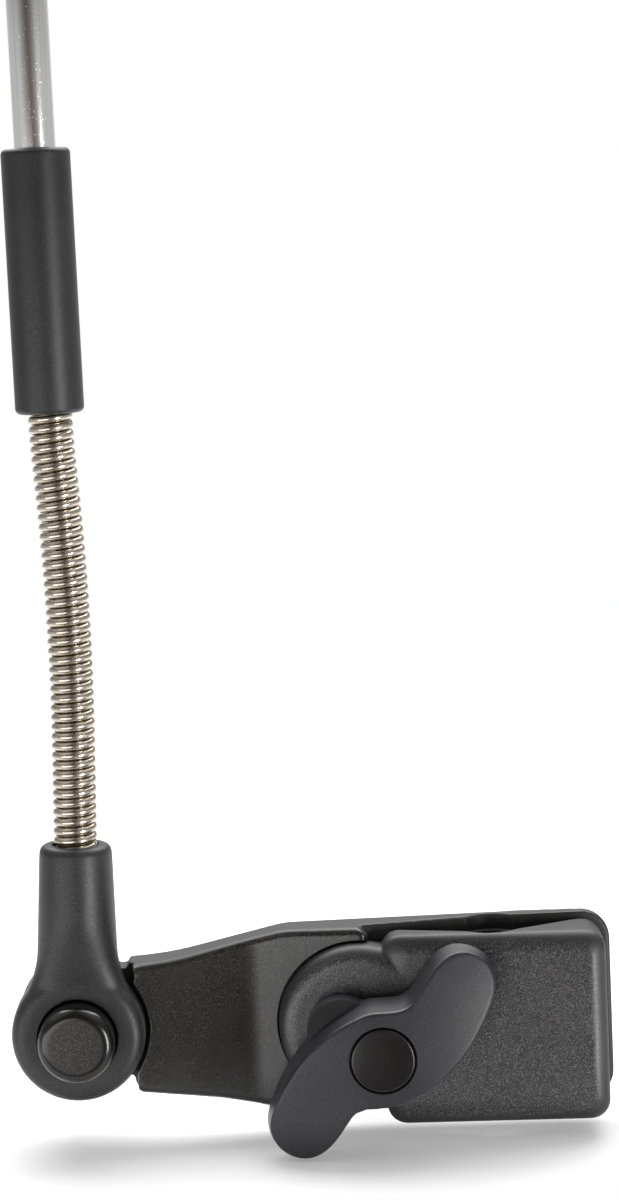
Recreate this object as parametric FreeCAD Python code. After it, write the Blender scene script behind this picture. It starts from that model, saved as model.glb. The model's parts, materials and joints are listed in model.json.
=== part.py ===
import FreeCAD, Part
import math
import os

# Lower end of a pram parasol: tube clamp, tilting knuckle with a push-button lock, coil gooseneck,
# sleeve and the start of the stick. Millimetres. The origin is the centre of the clamped tube,
# X runs along the clamp arm to the right, Y goes away from the viewer, Z is up along the tube.

V = FreeCAD.Vector

# clearances
RUN = 0.05
GAP = 0.3
SEAT = 0.02

# clamped tube, jaws and pads
TUBE_R = 6.0
PAD_T = 1.4
PAD_HALF_ANGLE = 50.0
PAD_WING = 9.0
PAD_HALF_H = 21.0
JAW_WALL = 2.1
JAW_HALF_H = 23.5
JAW_TRAVEL = 16.0
FRONT_TOP = 22.2
FRONT_BOTTOM = -24.0
FRONT_LEFT = -26.0
FRONT_RIGHT = 27.5
BACK_RIGHT = 29.8
TIP_X = 21.0
TIP_GAP = 0.8
TIP_INNER = 4.3
TIP_THICK = 3.2
TIP_BEND_X = 6.0
CORNER_R = 7.0
PILLOW_R = 2.8
END_R = 20.1
END_X = -32.9
END_GAP = 0.8
POCKET_FLOOR = 1.7

# clamp arm
ARM_DEPTH = 12.4
CREASE_X = -59.3
CREASE_DIP = 2.2
SHOULDER_X = -30.3
RISE_X = -57.5
RISE_DROP = 1.4
BEND_X = -52.5
ARM_END_IN = 13.7
ROOT_IN = 9.3
ROOT_TOP = 15.1
ROOT_BOTTOM = 14.9
LOWER_BEND_X = -38.3
ARM_EDGE_R = 1.5

# clamp screw, nut, knob
SCREW_X = -28.2
SCREW_Z = -3.4
SCREW_R = 3.0
NUT_FLATS = 10.0
NUT_H = 5.0
NUT_WALL = 2.0
HEAD_H = 4.0
WASHER_T = 0.8
WASHER_R = 8.0
SHROUD_WALL = 1.8
SHROUD_TOP = 2.0
KNOB_H = 15.0
COLLAR_H = 2.0
COLLAR_R = 15.0
KNOB_ANGLE = 42.0
KNOB_EDGE_R = 2.0
CAP_R = 7.7
CAP_H = 2.6
CAP_GAP = 0.4
SPRING_SEAT_R = 6.4
JAW_SPRING_WIRE = 0.9
JAW_SPRING_TURNS = 5
JAW_SPRING_R = 5.2

# half of the knob's outline, along the wings and across them; the other half is its half turn
KNOB_HALF = [(12.5, 5.6), (18.0, 7.9), (24.0, 9.5), (29.8, 8.0), (33.6, 3.2), (33.9, -3.2), (30.6, -8.4),
             (24.8, -11.9), (17.5, -13.7), (9.7, -14.2), (1.0, -12.6), (-6.9, -9.2)]

# tilting pivot
PIVOT_X = -102.3
PIVOT_Z = 0.9
RING_R = 16.4
RING_FRONT = -10.2
RING_T = 12.2
RING_EDGE_R = 3.2
HUB_R = 16.0
HUB_FLOOR_T = 2.5
HUB_GAP = 1.0
RING_CLEAR = 1.3
WEB_T = 1.6
RECESS_DEPTH = 5.6
TEETH = 24
TOOTH_TIP_R = 12.0
TOOTH_DEPTH = 1.5
TOOTH_SHARE = 0.42
GEAR_T = 6.9
GEAR_CUP_DEPTH = 4.0
GEAR_IN_KNUCKLE = 3.6
PRESS = 4.0
BOLT_R = 2.5
BOLT_HEAD_R = 4.5
BOLT_HEAD_H = 2.4
PIVOT_WASHER_T = 0.5
PIVOT_WASHER_R = 4.9
PIVOT_NUT_FLATS = 8.0
PIVOT_NUT_H = 2.7
COVER_R = 10.0
COVER_T = 1.6
LOCK_SPRING_WIRE = 0.8
LOCK_SPRING_TURNS = 4
LOCK_SPRING_R = 6.0

# release button
BUTTON_R = 9.4
BUTTON_OUT = 8.0
BUTTON_EDGE_R = 2.6
BUTTON_WALL = 1.5
BUTTON_ROOF = 2.2
LEGS = 3
LEG_IN = 5.6
LEG_T = 1.6
LEG_W = 4.0
HOOK = 0.7

# knuckle neck and gooseneck centreline, lengths measured from the pivot
LEAN = 1.9
NECK_TOP = 47.4
NECK_TOP_R = 8.85
NECK_LOW = 21.0
NECK_LOW_R = 9.8
NECK_EDGE_R = 2.0
SOCKET_DEPTH = 20.0
FIRST_STRAIGHT = 71.0
FIRST_ARC = 65.0
FIRST_TURN = -5.2
SECOND_STRAIGHT = 4.0
SECOND_ARC = 12.8
SECOND_TURN = 3.1

# coil, core, sleeve and stick
COIL_OUTER_R = 5.42
COIL_WIRE = 1.86
COIL_PITCH = 2.34
COIL_FIT = 0.2
CORE_R = 3.0
CORE_GAP = 0.4
FERRULE_R = 3.4
FLANGE_T = 2.0
JOINTS = 8
SLEEVE_LENGTH = 63.1
SLEEVE_R = 8.3
SLEEVE_EDGE_R = 1.3
SLEEVE_COIL_DEPTH = 20.0
STICK_R = 5.0
STICK_WALL = 0.9
STICK_DEPTH = 27.0
STOP_BORE_R = 4.4
FERRULE_BELOW = 1.0
STICK_OUT = 48.0
GRUB_R = 1.5
GRUB_KEY_R = 0.75
GRUB_KEY_DEPTH = 1.2
GRUB_SINK = 0.3
LOWER_GRUB_S = 39.0
UPPER_GRUB_BACK = 12.0

# derived places along X, and levels along Y
ROOT_X = PIVOT_X + ROOT_IN
ARM_END_X = PIVOT_X + ARM_END_IN
JAW_FACE = -(TUBE_R + PAD_T + JAW_WALL)
ARM_BACK = TUBE_R + PAD_T + JAW_WALL
ARM_FRONT = ARM_BACK - ARM_DEPTH
JAW_INNER = POCKET_FLOOR - END_GAP
KNOB_BACK = JAW_FACE - WASHER_T
KNOB_FRONT = KNOB_BACK - COLLAR_H - KNOB_H
NUT_SEAT = ARM_BACK - NUT_H + NUT_WALL
SCREW_BOSS_BACK = NUT_SEAT + NUT_H
HEAD_FRONT = KNOB_FRONT + CAP_H
SCREW_TIP = SCREW_BOSS_BACK + JAW_TRAVEL
RING_BACK = RING_FRONT + RING_T
HUB_FRONT = RING_BACK + GAP
WEB_FRONT = RING_FRONT + RECESS_DEPTH
WEB_BACK = WEB_FRONT + WEB_T
GEAR_FRONT = RING_BACK - GEAR_IN_KNUCKLE
GEAR_BACK = GEAR_FRONT + GEAR_T
HUB_FLOOR = GEAR_BACK + PRESS + HUB_GAP
HUB_FLOOR_BACK = HUB_FLOOR + HUB_FLOOR_T
HUB_BACK = HUB_FLOOR_BACK + PIVOT_NUT_H + GAP + COVER_T
NECK_Y = (RING_FRONT + RING_BACK) / 2
SLEEVE_S = FIRST_STRAIGHT + FIRST_ARC + SECOND_STRAIGHT + SECOND_ARC
COIL_R = COIL_OUTER_R - COIL_WIRE / 2
COIL_START = NECK_TOP - SOCKET_DEPTH + FLANGE_T + COIL_WIRE / 2 + GAP
COIL_END = SLEEVE_S + SLEEVE_COIL_DEPTH - FLANGE_T - COIL_WIRE / 2 - GAP
SOCKET_R = COIL_OUTER_R + COIL_FIT
HOLE_R = BUTTON_R + GAP
STICK_BOTTOM_S = SLEEVE_S + SLEEVE_LENGTH - STICK_DEPTH
STICK_TOP_S = SLEEVE_S + SLEEVE_LENGTH + STICK_OUT
BORE_R = STICK_R - STICK_WALL


def rounded_wire(corners, place):
    """A closed wire through corners (u, w, radius), each rounded; place turns (u, w) into a point."""
    count = len(corners)
    edges = []
    starts, ends, mids = [], [], []
    for i in range(count):
        u, w, radius = corners[i]
        here = V(u, w, 0)
        before = V(*corners[i - 1][:2], 0) - here
        after = V(*corners[(i + 1) % count][:2], 0) - here
        before.normalize()
        after.normalize()
        half = before.getAngle(after) / 2
        reach = radius / math.tan(half)
        starts.append(here + before * reach)
        ends.append(here + after * reach)
        bisector = before + after
        if radius > 0:
            bisector.normalize()
            mids.append(here + bisector * (radius / math.sin(half) - radius))
        else:
            mids.append(here)
    for i in range(count):
        if corners[i][2] > 0:
            edges.append(Part.Arc(place(starts[i]), place(mids[i]), place(ends[i])).toShape())
        edges.append(Part.makeLine(place(ends[i]), place(starts[(i + 1) % count])))
    return Part.Wire(edges)


def front_prism(corners, y0, y1):
    """A prism along Y with a front-view outline of corners (x, z, radius)."""
    wire = rounded_wire(corners, lambda p: V(p.x, y0, p.y))
    return Part.Face(wire).extrude(V(0, y1 - y0, 0))


def rod(radius, y0, y1, x, z):
    """A cylinder along Y."""
    return Part.makeCylinder(radius, y1 - y0, V(x, y0, z), V(0, 1, 0))


def hexagon(flats, y0, y1, x, z):
    """A hexagonal prism along Y."""
    radius = flats / 2 / math.cos(math.pi / 6)
    corners = []
    for i in range(6):
        angle = math.pi / 3 * i
        corners.append((x + radius * math.cos(angle), z + radius * math.sin(angle), 0))
    return front_prism(corners, y0, y1)


def biarc(p0, t0, p1, t1):
    """Two arcs that meet smoothly, from p0 along t0 to p1 along t1."""
    chord = p1 - p0
    both = t0 + t1
    spread = 2 * (1 - t0.dot(t1))
    along = chord.dot(both)
    reach = (math.sqrt(along * along + spread * chord.dot(chord)) - along) / spread
    q0 = p0 + t0 * reach
    q1 = p1 - t1 * reach
    join = (q0 + q1) * 0.5
    edges = []
    for a, apex, b in ((p0, q0, join), (join, q1, p1)):
        middle = (a + b) * 0.5
        half = (b - a).Length / 2
        rise = apex - middle
        tilt = math.acos(min(1.0, half / reach))
        rise.normalize()
        edges.append(Part.Arc(a, middle + rise * (half * math.tan(tilt / 2)), b).toShape())
    return edges


def swept_coil(point_at, turns, wire):
    """One unbroken tube along a coil. point_at(turn) gives a point; the path is biarcs of a half turn."""
    step = 0.0005
    edges = []
    nodes = []
    for i in range(2 * turns + 1):
        turn = i / 2
        tangent = point_at(turn + step) - point_at(turn - step)
        tangent.normalize()
        nodes.append((point_at(turn), tangent))
    for (p0, t0), (p1, t1) in zip(nodes, nodes[1:]):
        edges.extend(biarc(p0, t0, p1, t1))
    path = Part.Wire(edges)
    ring = Part.Wire([Part.Circle(nodes[0][0], nodes[0][1], wire / 2).toShape()])
    return path.makePipeShell([ring], True, False)


def least_gap(point_at, turns, wire):
    """The least gap of a coil to itself, measured on points of its path."""
    per_turn = 24
    points = [point_at(i / per_turn) for i in range(turns * per_turn + 1)]
    least = None
    for i in range(len(points) - per_turn // 2):
        for j in range(i + per_turn // 2, min(i + per_turn * 3 // 2, len(points))):
            distance = (points[j] - points[i]).Length
            if least is None or distance < least:
                least = distance
    return least - wire


def straight_coil(radius, y0, y1, turns, x, z):
    """point_at for a coil along Y."""
    def point_at(turn):
        angle = 2 * math.pi * turn
        return V(x + radius * math.cos(angle), y0 + (y1 - y0) * turn / turns, z + radius * math.sin(angle))
    return point_at


def neck_frame(s):
    """Point on the neck's centreline at length s from the pivot, and its lean to +X in radians."""
    lean = math.radians(LEAN)
    x, z = PIVOT_X, PIVOT_Z
    pieces = [(FIRST_STRAIGHT, 0.0), (FIRST_ARC, FIRST_TURN), (SECOND_STRAIGHT, 0.0), (SECOND_ARC, SECOND_TURN)]
    left = s
    for length, turn in pieces:
        part = min(left, length)
        bend = math.radians(turn) * part / length
        middle = lean + bend / 2
        reach = part
        if bend:
            reach = part * math.sin(bend / 2) / (bend / 2)
        x += reach * math.sin(middle)
        z += reach * math.cos(middle)
        lean += bend
        left -= part
        if left <= 0:
            return V(x, NECK_Y, z), lean
    return V(x + left * math.sin(lean), NECK_Y, z + left * math.cos(lean)), lean


def place_on_neck(shape, s):
    """Moves a shape built up along Z from the origin to length s on the neck."""
    point, lean = neck_frame(s)
    shape.rotate(V(0, 0, 0), V(0, 1, 0), math.degrees(lean))
    shape.translate(point)
    return shape


def revolve(points):
    """A solid of revolution about Z from (radius, height) points, listed as a closed loop."""
    wire = Part.makePolygon([V(r, 0, h) for r, h in points] + [V(points[0][0], 0, points[0][1])])
    return Part.Face(wire).revolve(V(0, 0, 0), V(0, 0, 1), 360)


def circles_at(shape, radius, axis, level):
    """The shape's circular edges of this radius at this level along an axis, 'y' or 'z'."""
    found = []
    for edge in shape.Edges:
        curve = edge.Curve
        if isinstance(curve, Part.Circle) and abs(curve.Radius - radius) < 1e-6:
            if abs(getattr(curve.Center, axis) - level) < 1e-6:
                found.append(edge)
    return found


def gear_corners(offset, x, z):
    """A toothed outline grown by offset: straight-sided teeth about (x, z)."""
    tip = TOOTH_TIP_R + offset
    root = TOOTH_TIP_R - TOOTH_DEPTH + offset
    pitch = 2 * math.pi / TEETH
    half_root = pitch * TOOTH_SHARE / 2 + offset / root
    half_tip = half_root * 0.6
    corners = []
    for i in range(TEETH):
        middle = pitch * i
        for radius, turn in ((root, -half_root), (tip, -half_tip), (tip, half_tip), (root, half_root)):
            angle = middle + turn
            corners.append((x + radius * math.cos(angle), z + radius * math.sin(angle), 0))
    return corners


def groove(side, grow):
    """Groove of a jaw in plan, from the left arc end to the right one. side is -1 in front, 1 behind."""
    radius = TUBE_R + grow
    angle = math.radians(PAD_HALF_ANGLE)
    return (-radius * math.sin(angle), side * radius * math.cos(angle)), (0, side * radius)


def grooved_plan(outer, left_flank, right_flank, side, grow, z0, z1):
    """A prism along Z with a round groove between two flank points; outer closes it, right to left."""
    (ax, ay), (mx, my) = groove(side, grow)
    points = [right_flank] + outer + [left_flank, (ax, ay)]
    edges = []
    for a, b in zip(points, points[1:]):
        edges.append(Part.makeLine(V(a[0], a[1], z0), V(b[0], b[1], z0)))
    edges.append(Part.Arc(V(ax, ay, z0), V(mx, my, z0), V(-ax, ay, z0)).toShape())
    edges.append(Part.makeLine(V(-ax, ay, z0), V(right_flank[0], right_flank[1], z0)))
    return Part.Face(Part.Wire(edges)).extrude(V(0, 0, z1 - z0))


BACK_LEFT_FLANK = (SHOULDER_X, POCKET_FLOOR)
BACK_RIGHT_FLANK = (TIP_X, TIP_INNER)
FRONT_LEFT_FLANK = (FRONT_LEFT + PAD_T, JAW_INNER)
FRONT_RIGHT_FLANK = (TIP_X, TIP_INNER - TIP_GAP)


def pad(left_flank, right_flank, side):
    """A soft pad that lines a jaw's groove and the start of its flanks."""
    (ax, ay), _ = groove(side, PAD_T)
    (bx, by), (mx, my) = groove(side, 0)
    ends = []
    for start, flank in (((ax, ay), left_flank), ((-ax, ay), right_flank)):
        run = V(flank[0] - start[0], flank[1] - start[1], 0)
        run.normalize()
        lift = V(-run.y, run.x, 0)
        if lift.y * side > 0:
            lift = lift * -1
        out = V(start[0], start[1], 0) + run * PAD_WING
        ends.append((out, out + lift * PAD_T, V(start[0], start[1], 0) + lift * PAD_T))
    (left_out, left_in, left_near), (right_out, right_in, right_near) = ends
    z0 = -PAD_HALF_H
    flat = V(0, 0, z0)
    loop = [V(-ax, ay, 0), right_out, right_in, right_near, V(-bx, by, 0)]
    back = [V(bx, by, 0), left_near, left_in, left_out, V(ax, ay, 0)]
    edges = [Part.makeLine(a + flat, b + flat) for a, b in zip(loop, loop[1:])]
    edges.append(Part.Arc(V(-bx, by, z0), V(mx, my, z0), V(bx, by, z0)).toShape())
    edges += [Part.makeLine(a + flat, b + flat) for a, b in zip(back, back[1:])]
    (_, _), (ox, oy) = groove(side, PAD_T)
    edges.append(Part.Arc(V(ax, ay, z0), V(ox, oy, z0), V(-ax, ay, z0)).toShape())
    return Part.Face(Part.Wire(edges)).extrude(V(0, 0, 2 * PAD_HALF_H))


def make_clamp_arm():
    """Arm, fixed back jaw and the hub that the knuckle turns on, as one moulding."""
    outline = [
        (ROOT_X, PIVOT_Z + ROOT_TOP, 0), (RISE_X, JAW_HALF_H - RISE_DROP, 0), (BEND_X, JAW_HALF_H, 0),
        (BACK_RIGHT, JAW_HALF_H, CORNER_R), (BACK_RIGHT, -JAW_HALF_H, CORNER_R),
        (LOWER_BEND_X, -JAW_HALF_H, 0), (ROOT_X, PIVOT_Z - ROOT_BOTTOM, 0)]
    plate = front_prism(outline, ARM_FRONT - GAP, ARM_BACK + GAP)
    outer = [
        (BACK_RIGHT + GAP, TIP_INNER), (BACK_RIGHT + GAP, TIP_INNER + TIP_THICK), (TIP_BEND_X, ARM_BACK),
        (ROOT_X - GAP, ARM_BACK), (ROOT_X - GAP, ARM_FRONT), (CREASE_X, ARM_FRONT + CREASE_DIP),
        (SHOULDER_X, ARM_FRONT)]
    plan = grooved_plan(outer, BACK_LEFT_FLANK, BACK_RIGHT_FLANK, 1, PAD_T, -2 * JAW_HALF_H, 2 * JAW_HALF_H)
    body = plate.common(plan)
    edges = [e for e in body.Edges if rims_front(e)]
    body = body.makeFillet(ARM_EDGE_R, edges)
    body = body.fuse(rod(HUB_R, HUB_FRONT, HUB_BACK, PIVOT_X, PIVOT_Z))
    boss_r = NUT_FLATS / 2 / math.cos(math.pi / 6) + SHROUD_WALL
    body = body.fuse(rod(boss_r, ARM_BACK - GAP, SCREW_BOSS_BACK, SCREW_X, SCREW_Z))
    cuts = [
        rod(RING_R + RING_CLEAR, ARM_FRONT - GAP, HUB_FRONT, PIVOT_X, PIVOT_Z),
        Part.makeBox(ARM_END_X - ROOT_X + GAP, HUB_FRONT - ARM_FRONT + GAP, 2 * JAW_HALF_H,
                     V(ROOT_X - GAP, ARM_FRONT - GAP, -JAW_HALF_H)),
        front_prism(gear_corners(GAP, PIVOT_X, PIVOT_Z), HUB_FRONT - GAP, HUB_FLOOR),
        rod(BOLT_R, HUB_FLOOR - GAP, HUB_BACK, PIVOT_X, PIVOT_Z),
        hexagon(PIVOT_NUT_FLATS, HUB_FLOOR_BACK, HUB_BACK, PIVOT_X, PIVOT_Z),
        rod(COVER_R, HUB_BACK - COVER_T, HUB_BACK + GAP, PIVOT_X, PIVOT_Z),
        rod(END_R + END_GAP, ARM_FRONT - GAP, POCKET_FLOOR, END_X, 0),
        rod(SCREW_R + GAP, POCKET_FLOOR - GAP, SCREW_BOSS_BACK, SCREW_X, SCREW_Z),
        rod(SPRING_SEAT_R, POCKET_FLOOR - GAP, NUT_SEAT - NUT_WALL, SCREW_X, SCREW_Z),
        hexagon(NUT_FLATS, NUT_SEAT, SCREW_BOSS_BACK + GAP, SCREW_X, SCREW_Z)]
    return body.cut(cuts)


def rims_front(edge):
    """True for the arm's long front edges along its top and bottom."""
    box = edge.BoundBox
    flat = box.YMax < ARM_FRONT + CREASE_DIP + GAP
    long_enough = box.XLength > 2 * GAP
    return flat and long_enough and box.ZLength < JAW_HALF_H


def make_front_jaw():
    """Moving jaw: a round end that sits in the arm's pocket and a rounded pad-shaped plate."""
    block = front_prism([
        (FRONT_LEFT, FRONT_TOP, PILLOW_R + GAP), (FRONT_RIGHT, FRONT_TOP, PILLOW_R + GAP),
        (FRONT_RIGHT, FRONT_BOTTOM, PILLOW_R + GAP), (FRONT_LEFT, FRONT_BOTTOM, PILLOW_R + GAP)],
        JAW_FACE, ARM_BACK)
    disc = rod(END_R, JAW_FACE, ARM_BACK, END_X, 0)
    blank = block.fuse(disc).removeSplitter()
    left = END_X - END_R - GAP
    outer = [
        (FRONT_RIGHT + GAP, TIP_INNER - TIP_GAP), (FRONT_RIGHT + GAP, JAW_FACE - GAP),
        (left, JAW_FACE - GAP), (left, JAW_INNER)]
    plan = grooved_plan(outer, FRONT_LEFT_FLANK, FRONT_RIGHT_FLANK, -1, PAD_T, -2 * JAW_HALF_H, 2 * JAW_HALF_H)
    body = blank.common(plan)
    rim = [e for e in body.Edges if abs(e.BoundBox.YMax - JAW_FACE) < 1e-6]
    body = body.makeFillet(PILLOW_R, rim)
    cuts = [
        rod(SCREW_R + GAP, JAW_FACE - GAP, JAW_INNER + GAP, SCREW_X, SCREW_Z),
        rod(SPRING_SEAT_R, JAW_FACE / 2, JAW_INNER + GAP, SCREW_X, SCREW_Z)]
    return body.cut(cuts)


def make_wing_knob():
    """S-shaped wing knob with a collar behind and a recess for the screw head and the cap."""
    turn = math.radians(KNOB_ANGLE)
    points = []
    for sign in (1, -1):
        for u, w in KNOB_HALF:
            x = sign * (u * math.cos(turn) - w * math.sin(turn))
            z = sign * (u * math.sin(turn) + w * math.cos(turn))
            points.append(V(SCREW_X + x, KNOB_FRONT, SCREW_Z + z))
    curve = Part.BSplineCurve()
    curve.interpolate(points, PeriodicFlag=True)
    body = Part.Face(Part.Wire([curve.toShape()])).extrude(V(0, KNOB_H, 0))
    rims = [e for e in body.Edges if e.BoundBox.YLength < KNOB_H / 2]
    body = body.makeFillet(KNOB_EDGE_R, rims)
    body = body.fuse(rod(COLLAR_R, KNOB_FRONT + KNOB_H / 2, KNOB_BACK, SCREW_X, SCREW_Z))
    cuts = [
        rod(CAP_R + CAP_GAP, KNOB_FRONT - GAP, KNOB_FRONT + CAP_H, SCREW_X, SCREW_Z),
        hexagon(NUT_FLATS, HEAD_FRONT - GAP, HEAD_FRONT + HEAD_H, SCREW_X, SCREW_Z),
        rod(SCREW_R, HEAD_FRONT, KNOB_BACK + GAP, SCREW_X, SCREW_Z)]
    return body.cut(cuts)


def make_knob_cap():
    """Round cap that covers the screw head."""
    body = rod(CAP_R, KNOB_FRONT, KNOB_FRONT + CAP_H, SCREW_X, SCREW_Z)
    return body.makeFillet(CAP_GAP, circles_at(body, CAP_R, "y", KNOB_FRONT))


def make_clamp_screw():
    """Hexagon-headed screw that turns with the knob."""
    head = hexagon(NUT_FLATS, HEAD_FRONT, HEAD_FRONT + HEAD_H, SCREW_X, SCREW_Z)
    shank = rod(SCREW_R, HEAD_FRONT, SCREW_TIP, SCREW_X, SCREW_Z)
    shank = shank.makeChamfer(GAP, circles_at(shank, SCREW_R, "y", SCREW_TIP))
    return head.fuse(shank).removeSplitter()


def make_screw_nut():
    """Captive hexagon nut in the back of the arm."""
    body = hexagon(NUT_FLATS, NUT_SEAT, SCREW_BOSS_BACK, SCREW_X, SCREW_Z)
    return body.cut(rod(SCREW_R + RUN, NUT_SEAT - GAP, SCREW_BOSS_BACK + GAP, SCREW_X, SCREW_Z))


def make_thrust_washer():
    """Plain washer between the knob's collar and the moving jaw."""
    body = rod(WASHER_R, KNOB_BACK, JAW_FACE, SCREW_X, SCREW_Z)
    return body.cut(rod(SCREW_R, KNOB_BACK - GAP, JAW_FACE + GAP, SCREW_X, SCREW_Z))


def make_screw_shroud():
    """Cup behind the arm that hides the end of the screw and keeps the nut in."""
    outer = NUT_FLATS / 2 / math.cos(math.pi / 6) + SHROUD_WALL
    end = SCREW_TIP + SHROUD_TOP + GAP
    body = rod(outer, SCREW_BOSS_BACK, end, SCREW_X, SCREW_Z)
    body = body.makeFillet(SHROUD_WALL, circles_at(body, outer, "y", end))
    return body.cut(rod(SCREW_R + 2 * GAP, SCREW_BOSS_BACK - GAP, SCREW_TIP + GAP, SCREW_X, SCREW_Z))


def neck_section(z, half_width, half_depth, power):
    """A closed superellipse at height z of the knuckle, centred on the neck axis."""
    count = 32
    points = []
    for i in range(count):
        angle = 2 * math.pi * i / count
        c, s = math.cos(angle), math.sin(angle)
        x = half_width * math.copysign(abs(c) ** (2 / power), c)
        y = half_depth * math.copysign(abs(s) ** (2 / power), s)
        points.append(V(x, NECK_Y + y, z))
    curve = Part.BSplineCurve()
    curve.interpolate(points, PeriodicFlag=True)
    return Part.Wire([curve.toShape()])


def make_knuckle():
    """Ring with the button's recess, blended into a round neck with the coil's socket."""
    ring = rod(RING_R, RING_FRONT, RING_BACK, 0, 0)
    ring = ring.makeFillet(RING_EDGE_R, circles_at(ring, RING_R, "y", RING_FRONT))
    slab = RING_T / 2
    low = RING_R * 0.62
    rise = NECK_LOW - low
    sections = []
    for share, power in ((0.0, 3.4), (0.22, 3.0), (0.48, 2.5), (0.75, 2.15), (1.0, 2.0)):
        ease = (1 - share) ** 2
        blend = share * share * (3 - 2 * share)
        width = NECK_LOW_R + (RING_R * 0.8 - NECK_LOW_R) * ease
        depth = slab + (NECK_LOW_R - slab) * blend
        sections.append(neck_section(low + rise * share, width, depth, power))
    sections.append(neck_section(NECK_LOW + NECK_EDGE_R, NECK_LOW_R - GAP, NECK_LOW_R - GAP, 2.0))
    flare = Part.makeLoft(sections, True, False)
    wide = NECK_LOW_R + GAP / 2
    neck = Part.makeCone(wide, NECK_TOP_R, NECK_TOP - NECK_LOW, V(0, NECK_Y, NECK_LOW), V(0, 0, 1))
    neck = neck.makeFillet(NECK_EDGE_R, circles_at(neck, NECK_TOP_R, "z", NECK_TOP))
    body = ring.fuse([flare, neck])
    grub_from = COIL_OUTER_R
    cuts = [
        rod(HUB_R + GAP + RUN, RING_BACK, RING_BACK + RING_R, 0, 0),
        rod(HOLE_R, RING_FRONT - RING_R, WEB_FRONT, 0, 0),
        rod(BOLT_R + RUN, WEB_FRONT - GAP, WEB_BACK + GAP, 0, 0),
        Part.makeCylinder(SOCKET_R, SOCKET_DEPTH + GAP, V(0, NECK_Y, NECK_TOP - SOCKET_DEPTH)),
        rod(GRUB_R, NECK_Y + grub_from, NECK_Y + 2 * NECK_LOW_R, 0, LOWER_GRUB_S)]
    for leg in leg_boxes(GAP / 2, WEB_FRONT - GAP, WEB_BACK + GAP, LEG_T):
        cuts.append(leg)
    body = at_pivot(body.cut(cuts))
    return body.cut(front_prism(gear_corners(GAP, PIVOT_X, PIVOT_Z), WEB_BACK, RING_BACK + GAP))


def at_pivot(shape):
    """Moves a shape built about the pivot with its neck along Z to its leaning place."""
    shape.rotate(V(0, 0, 0), V(0, 1, 0), LEAN)
    shape.translate(V(PIVOT_X, 0, PIVOT_Z))
    return shape


def leg_boxes(grow, y0, y1, thick):
    """Boxes where the button's legs run, grown sideways."""
    boxes = []
    for i in range(LEGS):
        box = Part.makeBox(thick + 2 * grow, y1 - y0, LEG_W + 2 * grow, V(LEG_IN - grow, y0, -LEG_W / 2 - grow))
        box.rotate(V(0, 0, 0), V(0, 1, 0), 360.0 / LEGS * i + 90)
        boxes.append(box)
    return boxes


def make_release_button():
    """Hollow round push button with hooked legs that reach through the knuckle's web to the gear."""
    front = RING_FRONT - BUTTON_OUT
    skirt = WEB_FRONT - PRESS - GAP
    body = rod(BUTTON_R, front, skirt, 0, 0)
    body = body.makeFillet(BUTTON_EDGE_R, circles_at(body, BUTTON_R, "y", front))
    body = body.cut(rod(BUTTON_R - BUTTON_WALL, front + BUTTON_ROOF, skirt + GAP, 0, 0))
    legs = leg_boxes(0, front + BUTTON_ROOF / 2, GEAR_FRONT - RUN, LEG_T)
    hooks = leg_boxes(0, WEB_BACK + RUN, GEAR_FRONT - RUN, LEG_T + HOOK)
    return at_pivot(body.fuse(legs + hooks).removeSplitter())


def make_lock_gear():
    """Toothed wheel that locks the knuckle to the hub, with a cup for its spring."""
    body = front_prism(gear_corners(0, PIVOT_X, PIVOT_Z), GEAR_FRONT, GEAR_BACK)
    cup = LOCK_SPRING_R + LOCK_SPRING_WIRE / 2 + GAP
    return body.cut([
        rod(BOLT_R + GAP, GEAR_FRONT - GAP, GEAR_BACK + GAP, PIVOT_X, PIVOT_Z),
        rod(cup, GEAR_BACK - GEAR_CUP_DEPTH, GEAR_BACK + GAP, PIVOT_X, PIVOT_Z)])


def make_pivot_bolt():
    """Pivot bolt: round head under the button, shank through web, gear, spring and hub."""
    back = HUB_FLOOR_BACK + PIVOT_NUT_H
    seat = WEB_FRONT - PIVOT_WASHER_T
    head = rod(BOLT_HEAD_R, seat - BOLT_HEAD_H, seat, PIVOT_X, PIVOT_Z)
    head = head.makeFillet(BOLT_HEAD_H / 3, circles_at(head, BOLT_HEAD_R, "y", seat - BOLT_HEAD_H))
    return head.fuse(rod(BOLT_R, seat, back, PIVOT_X, PIVOT_Z)).removeSplitter()


def make_pivot_washer():
    """Washer between the bolt head and the knuckle's web."""
    body = rod(PIVOT_WASHER_R, WEB_FRONT - PIVOT_WASHER_T, WEB_FRONT, PIVOT_X, PIVOT_Z)
    return body.cut(rod(BOLT_R, WEB_FRONT - 2 * PIVOT_WASHER_T, WEB_FRONT + GAP, PIVOT_X, PIVOT_Z))


def make_pivot_nut():
    """Thin hexagon nut on the pivot bolt, in the hub's back."""
    body = hexagon(PIVOT_NUT_FLATS, HUB_FLOOR_BACK, HUB_FLOOR_BACK + PIVOT_NUT_H, PIVOT_X, PIVOT_Z)
    return body.cut(rod(BOLT_R, HUB_FLOOR_BACK - GAP, HUB_BACK, PIVOT_X, PIVOT_Z))


def make_hub_cover():
    """Disc that closes the hub's back over the nut."""
    body = rod(COVER_R, HUB_BACK - COVER_T, HUB_BACK, PIVOT_X, PIVOT_Z)
    return body.makeChamfer(COVER_T / 3, circles_at(body, COVER_R, "y", HUB_BACK))


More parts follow.
